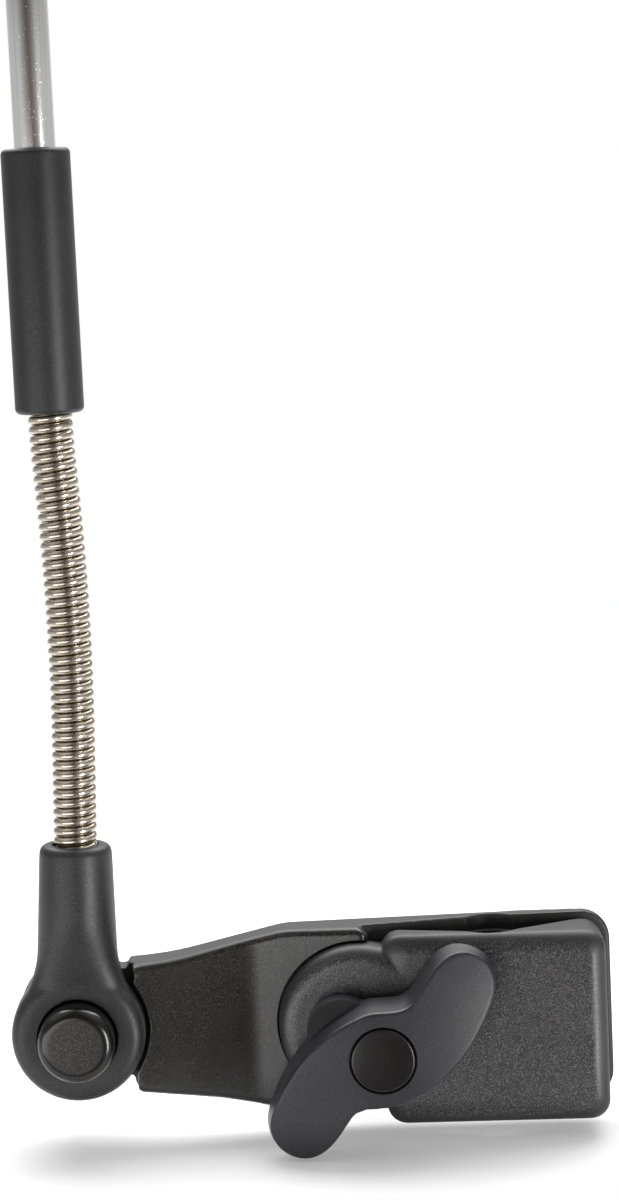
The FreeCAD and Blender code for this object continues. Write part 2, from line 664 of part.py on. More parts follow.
def make_lower_ferrule():
    """Steel plug in the coil's lower end: a flange in the socket and a round-ended rod."""
    start = NECK_TOP - SOCKET_DEPTH
    tip = joint_length(0) - CORE_GAP / 2 - start
    body = revolve([
        (0, 0), (SOCKET_R - SEAT, 0), (SOCKET_R - SEAT, FLANGE_T), (FERRULE_R, FLANGE_T),
        (FERRULE_R, SOCKET_DEPTH), (CORE_R, SOCKET_DEPTH + CORE_GAP), (CORE_R, tip - CORE_R), (0, tip - CORE_R)])
    body = body.fuse(Part.makeSphere(CORE_R, V(0, 0, tip - CORE_R))).removeSplitter()
    return place_on_neck(body, start)


def joint_length(i):
    """Length along the neck of its bending joint i."""
    return NECK_TOP + (SLEEVE_S - NECK_TOP) * (i + 0.5) / JOINTS


def make_core_link(i):
    """Straight round-ended length of the neck's bendable core, between joints i and i + 1."""
    a = neck_frame(joint_length(i))[0]
    b = neck_frame(joint_length(i + 1))[0]
    run = b - a
    run.normalize()
    low = a + run * (CORE_GAP / 2 + CORE_R)
    high = b - run * (CORE_GAP / 2 + CORE_R)
    body = Part.makeCylinder(CORE_R, (high - low).Length, low, run)
    ends = [Part.makeSphere(CORE_R, low), Part.makeSphere(CORE_R, high)]
    return body.fuse(ends).removeSplitter()


def coil_point(turn):
    """Point on the gooseneck coil after so many turns from its lower end."""
    s = COIL_START + COIL_PITCH * turn
    point, lean = neck_frame(s)
    angle = 2 * math.pi * turn
    across = V(math.cos(lean), 0, -math.sin(lean))
    return point + across * (COIL_R * math.cos(angle)) + V(0, COIL_R * math.sin(angle), 0)


def make_upper_ferrule():
    """Steel plug in the coil's upper end, held by its flange and shank in the sleeve."""
    start = joint_length(JOINTS - 1) + CORE_GAP / 2
    mouth = SLEEVE_S - start
    flange = mouth + SLEEVE_COIL_DEPTH
    top = STICK_BOTTOM_S - FERRULE_BELOW - start
    body = revolve([
        (0, CORE_R), (CORE_R, CORE_R), (CORE_R, mouth + CORE_GAP), (FERRULE_R, mouth + 2 * CORE_GAP),
        (FERRULE_R, flange - FLANGE_T), (SOCKET_R - SEAT, flange - FLANGE_T), (SOCKET_R - SEAT, flange),
        (STOP_BORE_R - SEAT, flange), (STOP_BORE_R - SEAT, top), (0, top)])
    body = body.fuse(Part.makeSphere(CORE_R, V(0, 0, CORE_R))).removeSplitter()
    body.translate(V(0, 0, -mouth))
    return place_on_neck(body, SLEEVE_S)


def make_sleeve():
    """Moulded sleeve over the joint of coil and stick."""
    body = Part.makeCylinder(SLEEVE_R, SLEEVE_LENGTH)
    rims = circles_at(body, SLEEVE_R, "z", 0) + circles_at(body, SLEEVE_R, "z", SLEEVE_LENGTH)
    body = body.makeFillet(SLEEVE_EDGE_R, rims)
    ledge = SLEEVE_LENGTH - STICK_DEPTH
    grub_z = SLEEVE_LENGTH - UPPER_GRUB_BACK
    cuts = [
        Part.makeCylinder(SOCKET_R, SLEEVE_COIL_DEPTH),
        Part.makeCylinder(STOP_BORE_R, SLEEVE_LENGTH),
        Part.makeCylinder(STICK_R, STICK_DEPTH + GAP, V(0, 0, ledge)),
        Part.makeCylinder(GRUB_R, 2 * SLEEVE_R, V(0, STICK_R / 2, grub_z), V(0, 1, 0))]
    return place_on_neck(body.cut(cuts), SLEEVE_S)


def make_stick_tube():
    """Start of the parasol's stick, an open tube."""
    length = STICK_TOP_S - STICK_BOTTOM_S
    body = Part.makeCylinder(STICK_R, length).cut(Part.makeCylinder(BORE_R, length))
    return place_on_neck(body, STICK_BOTTOM_S)


def grub(inner, outer):
    """Grub screw along Y with a round-bottomed key hole, from inner to outer distance off the neck axis."""
    end = outer - GRUB_SINK
    body = Part.makeCylinder(GRUB_R, end - inner, V(0, inner, 0), V(0, 1, 0))
    key = Part.makeCylinder(GRUB_KEY_R, GRUB_KEY_DEPTH + GAP, V(0, end - GRUB_KEY_DEPTH, 0), V(0, 1, 0))
    return body.cut(key)


def main():
    os.makedirs("parts", exist_ok=True)
    low_r = NECK_LOW_R + (NECK_TOP_R - NECK_LOW_R) * (LOWER_GRUB_S - NECK_LOW) / (NECK_TOP - NECK_LOW)
    turns = int((COIL_END - COIL_START) / COIL_PITCH)
    lock_wire = LOCK_SPRING_WIRE
    lock_coil = straight_coil(
        LOCK_SPRING_R, GEAR_BACK - GEAR_CUP_DEPTH + lock_wire / 2, HUB_FLOOR - lock_wire / 2,
        LOCK_SPRING_TURNS, PIVOT_X, PIVOT_Z)
    jaw_wire = JAW_SPRING_WIRE
    jaw_coil = straight_coil(
        JAW_SPRING_R, JAW_FACE / 2 + jaw_wire / 2, NUT_SEAT - NUT_WALL - jaw_wire / 2,
        JAW_SPRING_TURNS, SCREW_X, SCREW_Z)
    shapes = {
        "clamp_arm": make_clamp_arm(),
        "back_pad": pad(BACK_LEFT_FLANK, BACK_RIGHT_FLANK, 1),
        "screw_nut": make_screw_nut(),
        "screw_shroud": make_screw_shroud(),
        "pivot_bolt": make_pivot_bolt(),
        "pivot_washer": make_pivot_washer(),
        "pivot_nut": make_pivot_nut(),
        "hub_cover": make_hub_cover(),
        "front_jaw": make_front_jaw(),
        "front_pad": pad(FRONT_LEFT_FLANK, FRONT_RIGHT_FLANK, -1),
        "wing_knob": make_wing_knob(),
        "knob_cap": make_knob_cap(),
        "clamp_screw": make_clamp_screw(),
        "thrust_washer": make_thrust_washer(),
        "jaw_spring": swept_coil(jaw_coil, JAW_SPRING_TURNS, jaw_wire),
        "knuckle": make_knuckle(),
        "release_button": make_release_button(),
        "lock_gear": make_lock_gear(),
        "lock_spring": swept_coil(lock_coil, LOCK_SPRING_TURNS, lock_wire),
        "lower_ferrule": make_lower_ferrule(),
        "lower_grub_screw": place_on_neck(grub(COIL_OUTER_R, low_r), LOWER_GRUB_S),
        "neck_coil": swept_coil(coil_point, turns, COIL_WIRE),
        "upper_ferrule": make_upper_ferrule(),
        "sleeve": make_sleeve(),
        "stick_tube": make_stick_tube(),
        "upper_grub_screw": place_on_neck(grub(STICK_R + SEAT, SLEEVE_R), SLEEVE_S + SLEEVE_LENGTH - UPPER_GRUB_BACK),
    }
    for i in range(JOINTS - 1):
        shapes["neck_core_" + str(i + 1)] = make_core_link(i)
    for name, shape in shapes.items():
        shape.exportStep("parts/" + name + ".step")
        print(name, shape.isValid(), len(shape.Solids), round(shape.Volume, 1))
    print("neck coil turns", turns, "least gap", round(least_gap(coil_point, turns, COIL_WIRE), 3))
    print("lock spring least gap", round(least_gap(lock_coil, LOCK_SPRING_TURNS, lock_wire), 3))
    print("jaw spring least gap", round(least_gap(jaw_coil, JAW_SPRING_TURNS, jaw_wire), 3))
    for i in range(JOINTS):
        point, lean = neck_frame(joint_length(i))
        print("joint", i, round(point.x, 4), round(point.y, 4), round(point.z, 4), round(math.degrees(lean), 4))


main()
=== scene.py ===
"""Looks of a pram parasol's lower end: tube clamp, tilt joint, gooseneck, sleeve and stick.

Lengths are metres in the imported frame; MM turns a size in millimetres into metres. X runs along the
clamp arm to the right, Y goes away from the viewer and Z is up.
"""

import json
import logging
import math
from dataclasses import dataclass, field
from enum import Enum, IntEnum
from typing import Callable, Optional, Sequence, Union

import bmesh
import bpy
from mathutils import Matrix, Vector


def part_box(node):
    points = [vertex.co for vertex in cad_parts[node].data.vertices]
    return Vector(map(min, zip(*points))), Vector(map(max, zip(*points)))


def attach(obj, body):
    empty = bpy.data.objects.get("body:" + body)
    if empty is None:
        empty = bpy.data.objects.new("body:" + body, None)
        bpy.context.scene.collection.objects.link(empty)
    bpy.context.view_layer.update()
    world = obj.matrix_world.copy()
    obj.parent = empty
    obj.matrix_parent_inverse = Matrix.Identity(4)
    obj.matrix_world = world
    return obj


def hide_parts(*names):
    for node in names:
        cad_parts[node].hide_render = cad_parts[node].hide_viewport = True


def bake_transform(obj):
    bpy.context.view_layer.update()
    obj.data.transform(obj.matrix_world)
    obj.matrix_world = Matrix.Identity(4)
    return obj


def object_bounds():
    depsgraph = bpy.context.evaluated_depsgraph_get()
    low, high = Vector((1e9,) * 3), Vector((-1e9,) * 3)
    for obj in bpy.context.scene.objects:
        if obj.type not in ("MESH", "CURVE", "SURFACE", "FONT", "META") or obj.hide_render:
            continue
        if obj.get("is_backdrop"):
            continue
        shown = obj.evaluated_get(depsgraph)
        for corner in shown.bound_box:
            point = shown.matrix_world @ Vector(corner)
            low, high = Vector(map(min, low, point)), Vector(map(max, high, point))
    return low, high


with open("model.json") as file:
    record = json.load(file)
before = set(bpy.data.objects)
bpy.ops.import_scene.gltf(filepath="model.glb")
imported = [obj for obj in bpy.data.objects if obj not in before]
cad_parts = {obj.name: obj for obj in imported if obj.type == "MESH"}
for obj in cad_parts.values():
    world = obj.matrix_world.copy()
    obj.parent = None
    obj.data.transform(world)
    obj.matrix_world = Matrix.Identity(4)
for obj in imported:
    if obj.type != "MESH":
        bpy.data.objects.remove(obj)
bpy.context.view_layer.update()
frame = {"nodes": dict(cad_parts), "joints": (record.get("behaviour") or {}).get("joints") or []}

MM = 0.001
LOG = logging.getLogger("parasol")

Point2 = tuple[float, float]
Corner = tuple[float, float, float]
Colour = tuple[float, float, float]
EdgeTest = Callable[[Vector, Vector], bool]
Softness = tuple[float, int]  # voxel size and rounds of relaxing

JOINTS = {joint["name"]: joint for joint in frame["joints"]}
PIVOT = Vector(JOINTS["knuckle_pivot"]["pos_m"])
SCREW = Vector(JOINTS["knob_turn"]["pos_m"])
POCKET = Vector((-32.9 * MM, 0.0, 0.0))
ALONG_Y = Matrix.Rotation(-math.pi / 2, 4, "X")

# Lengths that a piece shares with its finish.
CREASE_X = -59.3 * MM
KNOB_DOME_R = 100.0 * MM

# A tool's seam is turned aside so that no edge of it lies on another piece's.
SEAM_TURN = Matrix.Rotation(math.radians(17), 4, "Z")

WELD = 0.002 * MM  # points nearer to each other than this become one
TINY = 0.01 * MM  # how near to a plane counts as on it
RELAX = 0.5  # factor of a round of relaxing

NOISE_ROUGHNESS = 0.55
MIDDLE_BAND = (0.3, 0.7)  # noise that is spread to the full range
PEAK_SHARE = 0.6  # of the large grain in a moulding's relief


class Plane(Enum):
    """The plane that an outline is drawn in; its slab grows along the third axis."""

    FRONT = "front"
    PLAN = "plan"


class Cut(Enum):
    """What a tool mesh does to a piece."""

    TAKE = "DIFFERENCE"
    JOIN = "UNION"
    KEEP = "INTERSECT"


class Pick(Enum):
    """What edit mode selects."""

    POINTS = "VERT"
    EDGES = "EDGE"
    FACES = "FACE"


class Sides(IntEnum):
    """Segments of a full turn; tools on one axis differ in them, so that no edges meet."""

    POCKET = 193
    FINE = 128
    ROD = 97
    PLAIN = 96
    HUB = 89
    SPRING = 71
    NUT = 59
    SCREW = 53
    BOLT = 48
    GRUB = 32


class Shading(Enum):
    """Up to which angle between its faces, in degrees, a piece is shaded smooth."""

    CRISP = 30.0
    TURNED = 35.0
    MOULDED = 40.0
    WIRE = 60.0
    MELTED = 180.0


def rounded_loop(corners: Sequence[Corner], steps: int = 8) -> list[Point2]:
    """A closed outline with its corners turned into arcs.

    Args:
        corners: (u, w, radius) of each corner, in order.
        steps: segments of each arc.

    Returns:
        The outline's points.
    """
    points: list[Point2] = []
    for i, (u, w, radius) in enumerate(corners):
        here = Vector((u, w))
        if radius <= 0:
            points.append((u, w))
            continue
        before = (Vector(corners[i - 1][:2]) - here).normalized()
        after = (Vector(corners[(i + 1) % len(corners)][:2]) - here).normalized()
        half = before.angle(after) / 2
        centre = here + (before + after).normalized() * (radius / math.sin(half))
        first = here + before * (radius / math.tan(half)) - centre
        last = here + after * (radius / math.tan(half)) - centre
        start = math.atan2(first.y, first.x)
        turn = (math.atan2(last.y, last.x) - start + math.pi) % (2 * math.pi) - math.pi
        for k in range(steps + 1):
            angle = start + turn * k / steps
            points.append((centre.x + radius * math.cos(angle), centre.y + radius * math.sin(angle)))
    return points


def arc(centre: Point2, radius: float, start: float, end: float, steps: int = 24) -> list[Point2]:
    """Points of an arc about centre from start to end, in degrees."""
    angles = [math.radians(start + (end - start) * k / steps) for k in range(steps + 1)]
    return [(centre[0] + radius * math.cos(a), centre[1] + radius * math.sin(a)) for a in angles]


def quarter(steps: int) -> list[float]:
    """Angles from 0 to a right angle in equal steps."""
    return [math.pi / 2 * k / steps for k in range(steps + 1)]


def bar(radius: float, low: float, high: float) -> list[Point2]:
    """The turning profile of a plain cylinder."""
    return [(0, low), (radius, low), (radius, high), (0, high)]


def rectangle(left: float, right: float, half: float) -> list[Point2]:
    """A rectangle from left to right, reaching half below and half above zero."""
    return [(left, -half), (right, -half), (right, half), (left, half)]


def along_y(centre: Vector) -> Matrix:
    """The matrix that lays local Z along Y, through a centre's X and Z."""
    return Matrix.Translation((centre.x, 0, centre.z)) @ ALONG_Y


class Bench:
    """Hand-modelling steps, each on one mesh object."""

    @staticmethod
    def begin(obj: Optional[bpy.types.Object] = None) -> None:
        """Leave edit mode and deselect everything.

        Args:
            obj: the object that is picked then, if any.
        """
        if bpy.context.object and bpy.context.object.mode != "OBJECT":
            bpy.ops.object.mode_set(mode="OBJECT")
        bpy.ops.object.select_all(action="DESELECT")
        if obj:
            obj.select_set(True)
            bpy.context.view_layer.objects.active = obj

    @staticmethod
    def edit(obj: bpy.types.Object, pick: Pick = Pick.POINTS) -> None:
        """Open an object in edit mode with everything selected.

        Args:
            obj: the object.
            pick: what is selected.
        """
        Bench.begin(obj)
        bpy.ops.object.mode_set(mode="EDIT")
        bpy.ops.mesh.select_mode(type=pick.value)
        bpy.ops.mesh.select_all(action="SELECT")

    @staticmethod
    def close(obj: bpy.types.Object) -> bpy.types.Object:
        """Weld doubles, drop loose ends, fill holes and turn all faces outwards.

        Args:
            obj: the object.

        Returns:
            The same object.
        """
        Bench.edit(obj)
        bpy.ops.mesh.remove_doubles(threshold=WELD)
        bpy.ops.mesh.delete_loose()
        bpy.ops.mesh.select_all(action="SELECT")
        bpy.ops.mesh.fill_holes(sides=0)
        bpy.ops.mesh.select_all(action="SELECT")
        bpy.ops.mesh.normals_make_consistent(inside=False)
        bpy.ops.object.mode_set(mode="OBJECT")
        return obj

    @staticmethod
    def loop(name: str, points: Sequence[Vector], filled: bool) -> bpy.types.Object:
        """A circle primitive whose points are moved onto a closed outline.

        Args:
            name: the new object's name.
            points: the outline.
            filled: whether the outline gets a face.

        Returns:
            The new object.
        """
        Bench.begin()
        bpy.ops.mesh.primitive_circle_add(vertices=len(points), radius=1.0, location=(0, 0, 0),
                                          fill_type="NGON" if filled else "NOTHING")
        obj = bpy.context.object
        obj.name = name
        obj.data.name = name
        for vertex, point in zip(obj.data.vertices, points):
            vertex.co = point
        return obj

    @staticmethod
    def slab(name: str, outline: Sequence[Point2], plane: Plane, low: float, high: float) -> bpy.types.Object:
        """An outline extruded from low to high along the axis that it isn't drawn in.

        Args:
            name: the new object's name.
            outline: points in the plane.
            plane: FRONT for (x, z) points, PLAN for (x, y) points.
            low: where the slab starts along the third axis.
            high: where it ends.

        Returns:
            The closed slab.
        """
        front = plane is Plane.FRONT
        points = [Vector((u, low, w)) if front else Vector((u, w, low)) for u, w in outline]
        obj = Bench.loop(name, points, filled=True)
        Bench.edit(obj, Pick.FACES)
        reach = (0, high - low, 0) if front else (0, 0, high - low)
        bpy.ops.mesh.extrude_region_move(TRANSFORM_OT_translate={"value": reach})
        return Bench.close(obj)

    @staticmethod
    def turned(name: str, profile: Sequence[Point2], place: Matrix,
               sides: int = Sides.PLAIN) -> bpy.types.Object:
        """A profile of (radius, height) points spun about its axis and put in place.

        Args:
            name: the new object's name.
            profile: the closed cross-section.
            place: the matrix that takes the turning axis, local Z, to where the piece goes.
            sides: segments of the full turn.

        Returns:
            The closed turned piece.
        """
        obj = Bench.loop(name, [Vector((r, 0, h)) for r, h in profile], filled=False)
        Bench.edit(obj)
        bpy.ops.mesh.spin(steps=sides, angle=2 * math.pi, center=(0, 0, 0), axis=(0, 0, 1))
        Bench.close(obj)
        obj.data.transform(place)
        return obj

    @staticmethod
    def rod(centre: Vector, radius: float, start: float, end: float, edge: float = 0.0,
            sides: int = Sides.ROD) -> bpy.types.Object:
        """A rod along Y, mostly a drilling tool.

        Args:
            centre: a point whose X and Z are the rod's.
            radius: its radius.
            start: where it starts along Y.
            end: where it ends.
            edge: round of its far rim.
            sides: its sides.

        Returns:
            The closed rod.
        """
        profile = rounded_loop([(0, start, 0), (radius, start, 0), (radius, end, edge), (0, end, 0)])
        return Bench.turned("rod", profile, along_y(centre) @ SEAM_TURN, sides)

    @staticmethod
    def drill(obj: bpy.types.Object, centre: Vector, radius: float, start: float, end: float,
              sides: int = Sides.ROD) -> None:
        """Take a rod along Y, from start to end, out of obj."""
        Bench.shape(obj, Bench.rod(centre, radius, start, end, sides=sides))

    @staticmethod
    def lofted(name: str, rings: Sequence[Sequence[Vector]]) -> bpy.types.Object:
        """A skin bridged through rings and closed at both ends.

        Args:
            name: the new object's name.
            rings: outlines with equal point counts, in order.

        Returns:
            The closed skin.
        """
        loops = [Bench.loop(name, ring, filled=False) for ring in rings]
        Bench.begin(loops[0])
        for other in loops[1:]:
            other.select_set(True)
        bpy.ops.object.join()
        Bench.edit(loops[0], Pick.EDGES)
        bpy.ops.mesh.bridge_edge_loops(type="SINGLE")
        return Bench.close(loops[0])

    @staticmethod
    def wound(name: str, mean_r: float, wire: float, turns: float, rise: float, steps: int = 44,
              sides: int = 14) -> bpy.types.Object:
        """A round wire wound about Z from height 0, starting on +X.

        Args:
            name: the new object's name.
            mean_r: radius of the wire's middle.
            wire: the wire's diameter.
            turns: how often it goes round.
            rise: how far it climbs in all.
            steps: segments of each turn.
            sides: sides of the wire.

        Returns:
            The closed winding.
        """
        angles = [2 * math.pi * k / sides for k in range(sides)]
        ring = [Vector((mean_r + wire / 2 * math.cos(a), 0, wire / 2 * math.sin(a))) for a in angles]
        obj = Bench.loop(name, ring, filled=False)
        count = round(steps * turns)
        Bench.modify(obj, "SCREW", axis="Z", angle=2 * math.pi * turns, screw_offset=rise, iterations=1,
                     steps=count, render_steps=count)
        return Bench.close(obj)

    @staticmethod
    def bevel(obj: bpy.types.Object, wanted: EdgeTest, size: float, segments: int) -> None:
        """Round some edges.

        Args:
            obj: the object.
            wanted: test of an edge's two ends.
            size: how far the round reaches.
            segments: its segments.
        """
        Bench.edit(obj, Pick.EDGES)
        bpy.ops.mesh.select_all(action="DESELECT")
        mesh = bmesh.from_edit_mesh(obj.data)
        for edge in [e for e in mesh.edges if wanted(e.verts[0].co, e.verts[1].co)]:
            edge.select = True
        mesh.select_flush(True)
        bmesh.update_edit_mesh(obj.data)
        bpy.ops.mesh.bevel(offset=size, segments=segments, affect="EDGES", clamp_overlap=False)
        bpy.ops.object.mode_set(mode="OBJECT")

    @staticmethod
    def modify(obj: bpy.types.Object, kind: str, **settings: object) -> None:
        """Add a modifier and apply it.

        Args:
            obj: the object.
            kind: the modifier's type.
            settings: its properties.
        """
        Bench.begin(obj)
        modifier = obj.modifiers.new(kind.lower(), kind)
        for key, value in settings.items():
            setattr(modifier, key, value)
        bpy.ops.object.modifier_apply(modifier=modifier.name)

    @staticmethod
    def shape(obj: bpy.types.Object, tool: bpy.types.Object, how: Cut = Cut.TAKE) -> None:
        """Cut, join or trim obj with a tool mesh, which is used up."""
        Bench.modify(obj, "BOOLEAN", object=tool, operation=how.value, solver="MANIFOLD")
        bpy.data.objects.remove(tool, do_unlink=True)

    @staticmethod
    def soften(obj: bpy.types.Object, voxel: float, rounds: int) -> None:
        """Remesh obj evenly and relax it, so that its edges get a moulding's small radius."""
        Bench.modify(obj, "REMESH", mode="VOXEL", voxel_size=voxel)
        Bench.modify(obj, "SMOOTH", factor=RELAX, iterations=rounds)

    @staticmethod
    def smooth(obj: bpy.types.Object, shading: Shading = Shading.TURNED) -> bpy.types.Object:
        """Shade an object smooth.

        Args:
            obj: the object.
            shading: which of its edges stay sharp.

        Returns:
            The same object.
        """
        Bench.begin(obj)
        bpy.ops.object.shade_smooth_by_angle(angle=math.radians(shading.value))
        return obj


class Value:
    """A number socket; arithmetic on it adds Math nodes."""

    def __init__(self, tree: "ShaderTree", socket: bpy.types.NodeSocket) -> None:
        """Wrap one socket of a tree."""
        self.tree = tree
        self.socket = socket

    def __add__(self, other: "Number") -> "Value":
        """self + other."""
        return self.tree.math("ADD", self, other)

    def __radd__(self, other: float) -> "Value":
        """other + self."""
        return self.tree.math("ADD", other, self)

    def __sub__(self, other: "Number") -> "Value":
        """self - other."""
        return self.tree.math("SUBTRACT", self, other)

    def __rsub__(self, other: float) -> "Value":
        """other - self."""
        return self.tree.math("SUBTRACT", other, self)

    def __mul__(self, other: "Number") -> "Value":
        """self * other."""
        return self.tree.math("MULTIPLY", self, other)

    def __rmul__(self, other: float) -> "Value":
        """other * self."""
        return self.tree.math("MULTIPLY", other, self)

    def __abs__(self) -> "Value":
        """abs(self)."""
        return self.tree.math("ABSOLUTE", self, 0.0)

    def ramp(self, low: float, high: float, smooth: bool = True) -> "Value":
        """0 below low, 1 above high, and a slope between them.

        Args:
            low: where the slope starts.
            high: where it ends.
            smooth: whether the slope eases in and out.

        Returns:
            The new value.
        """
        settings = {"interpolation_type": "SMOOTHSTEP" if smooth else "LINEAR", "clamp": True}
        sockets = {"Value": self, "From Min": low, "From Max": high}
        return self.tree.value("ShaderNodeMapRange", "Result", settings, sockets)

    def held(self) -> "Value":
        """The value held between 0 and 1."""
        return self.ramp(0.0, 1.0, smooth=False)


Number = Union[Value, float]


class ShaderTree:
    """The node tree of one material or world."""

    def __init__(self, tree: bpy.types.NodeTree) -> None:
        """Empty a tree and take it over."""
        self.tree = tree
        tree.nodes.clear()

    def node(self, kind: str, settings: Optional[dict] = None,
             sockets: Optional[dict] = None) -> bpy.types.Node:
        """Add a node.

        Args:
            kind: the node's type.
            settings: its properties, set first.
            sockets: values or links of its inputs, by name or number.

        Returns:
            The node.
        """
        node = self.tree.nodes.new(kind)
        for key, value in (settings or {}).items():
            setattr(node, key, value)
        for key, value in (sockets or {}).items():
            source = value.socket if isinstance(value, Value) else value
            if isinstance(source, bpy.types.NodeSocket):
                self.tree.links.new(source, node.inputs[key])
            else:
                node.inputs[key].default_value = source
        return node

    def value(self, kind: str, output: str, settings: Optional[dict], sockets: dict) -> Value:
        """Add a node and wrap one of its outputs as a number."""
        return Value(self, self.node(kind, settings, sockets).outputs[output])

    def math(self, operation: str, first: Number, second: Number) -> Value:
        """A Math node on two numbers."""
        return self.value("ShaderNodeMath", "Value", {"operation": operation}, {0: first, 1: second})

    def mix(self, factor: Number, first: object, second: object) -> bpy.types.NodeSocket:
        """A colour mix.

        Args:
            factor: the share of second.
            first: a colour or a colour socket.
            second: another one.

        Returns:
            The mixed colour's socket.
        """
        ends = [(*c, 1.0) if isinstance(c, tuple) else c for c in (first, second)]
        sockets = {"Factor": factor, 6: ends[0], 7: ends[1]}
        return self.node("ShaderNodeMix", {"data_type": "RGBA"}, sockets).outputs[2]

    def place(self, kind: str = "Object") -> bpy.types.NodeSocket:
        """Object coordinates, or another kind of texture coordinates."""
        return self.node("ShaderNodeTexCoord").outputs[kind]

    def axes(self, kind: str = "Object") -> tuple[Value, ...]:
        """X, Y and Z of such coordinates as numbers."""
        spot = self.node("ShaderNodeSeparateXYZ", None, {0: self.place(kind)})
        return tuple(Value(self, spot.outputs[axis]) for axis in "XYZ")

    def noise(self, size: float, detail: float, stretch: Corner = (1.0, 1.0, 1.0)) -> Value:
        """Noise on the object.

        Args:
            size: about how wide its features are.
            detail: how much finer noise is laid over it.
            stretch: scale along X, Y and Z; a small one draws the features out.

        Returns:
            The noise, between 0 and 1.
        """
        spot = self.place()
        if stretch != (1.0, 1.0, 1.0):
            spot = self.node("ShaderNodeMapping", None, {"Vector": spot, "Scale": stretch}).outputs[0]
        sockets = {"Vector": spot, "Scale": 1.0 / size, "Detail": detail, "Roughness": NOISE_ROUGHNESS}
        return self.value("ShaderNodeTexNoise", "Fac", None, sockets)

    def bump(self, height: Value, depth: float) -> bpy.types.NodeSocket:
        """A bump of the given depth from a height between 0 and 1."""
        sockets = {"Height": height, "Distance": depth, "Strength": 1.0}
        return self.node("ShaderNodeBump", None, sockets).outputs[0]


@dataclass(frozen=True)
class Finish:
    """What every finish has: a name and the record's slot."""

    name: str
    slot: str

    def make(self) -> bpy.types.Material:
        """Make the finish once.

        Returns:
            The finish as a material.
        """
        found = bpy.data.materials.get(self.name)
        if found:
            return found
        material = bpy.data.materials.new(self.name)
        material.use_nodes = True
        tree = ShaderTree(material.node_tree)
        shader = self.surface(tree)
        tree.node("ShaderNodeOutputMaterial", None, {"Surface": shader.outputs[0]})
        return material

    def surface(self, tree: ShaderTree) -> bpy.types.Node:
        """The shader node; each kind of finish has its own."""
        raise NotImplementedError

    def dress(self, obj: bpy.types.Object) -> None:
        """Put the finish on an object as its only material."""
        obj.data.materials.clear()
        obj.data.materials.append(self.make())


@dataclass(frozen=True, kw_only=True)
class Moulding(Finish):
    """Grained black plastic: an eroded mould texture whose peaks are shinier and lighter; their lighter
    colour is partly grain tone and partly painted sparkle.
    """

    dark: Colour
    light: Colour
    depth: float
    rough: float
    grain: float = 0.34 * MM
    fine: float = 0.45  # size of the finer grain, as a share of the large one
    glint: float = 0.06
    contrast: float = 0.9
    specular: float = 0.5
    peak: Point2 = (0.46, 0.67)  # heights where a peak starts to lighten and is lightest
    cloud: float = 0.2
    cloud_size: float = 14.0 * MM
    cloud_rough: float = 0.08

    def relief(self, tree: ShaderTree) -> Value:
        """Height of the grain: peaks, and a finer grain between them.

        Args:
            tree: the material's tree.

        Returns:
            The height, between 0 and 1.
        """
        peaks = tree.noise(self.grain, detail=2.0)
        fine = tree.noise(self.grain * self.fine, detail=1.0)
        return peaks * PEAK_SHARE + fine * (1.0 - PEAK_SHARE)

    def cover(self, tree: ShaderTree) -> Number:
        """How much grain there is: the same all over."""
        return 1.0

    def at_rim(self, rough: Value, cover: Number) -> Value:
        """The roughness where the grain fades: unchanged."""
        return rough

    def shader(self, tree: ShaderTree, colour: bpy.types.NodeSocket, rough: Value,
               height: Value) -> bpy.types.Node:
        """The shader node from its colour, roughness and relief."""
        return tree.node("ShaderNodeBsdfPrincipled", None, {
            "Base Color": colour, "Roughness": rough, "Specular IOR Level": self.specular,
            "Normal": tree.bump(height, self.depth)})

    def surface(self, tree: ShaderTree) -> bpy.types.Node:
        """Grain over slow clouds of wear and shine.

        Args:
            tree: the material's tree.

        Returns:
            The shader node.
        """
        cover = self.cover(tree)
        relief = self.relief(tree)
        clouds = tree.noise(self.cloud_size, detail=3.0)
        raised_grain_and_sparkle = relief.ramp(*self.peak) * cover
        tone = (raised_grain_and_sparkle * self.contrast + clouds.ramp(*MIDDLE_BAND) * self.cloud).held()
        # Lighter peaks: partly grain tone, partly painted sparkle that stands in for glints.
        colour = tree.mix(tone, self.dark, self.light)
        rough = self.at_rim(self.rough - raised_grain_and_sparkle * self.glint + clouds * self.cloud_rough, cover)
        return self.shader(tree, colour, rough, relief * cover)


@dataclass(frozen=True, kw_only=True)
class FacedMoulding(Moulding):
    """A moulding whose grain is full on its front face and little on the rounded rims behind it."""

    face_y: float
    rim_shine: float
    fade: float = 0.9 * MM
    fade_share: float = 0.85  # of the grain that is gone behind the fade

    def depth_behind(self, tree: ShaderTree) -> Value:
        """How far a point lies behind the front face; each kind of face has its own."""
        raise NotImplementedError

    def cover(self, tree: ShaderTree) -> Number:
        """How much grain there is."""
        return 1.0 - self.depth_behind(tree).ramp(0.0, self.fade) * self.fade_share

    def at_rim(self, rough: Value, cover: Number) -> Value:
        """The roughness, shinier where the grain fades, or duller if rim_shine is negative."""
        return rough - (1.0 - cover) * self.rim_shine


@dataclass(frozen=True, kw_only=True)
class DomedMoulding(FacedMoulding):
    """A moulding whose front face is a shallow dome about an axis along Y."""

    centre: Vector
    dome_r: float

    def depth_behind(self, tree: ShaderTree) -> Value:
        """How far a point lies behind the dome.

        Args:
            tree: the material's tree.

        Returns:
            The depth.
        """
        x, y, z = tree.axes()
        across = x - self.centre.x
        up = z - self.centre.z
        return y - (across * across + up * up) * (0.5 / self.dome_r) - self.face_y


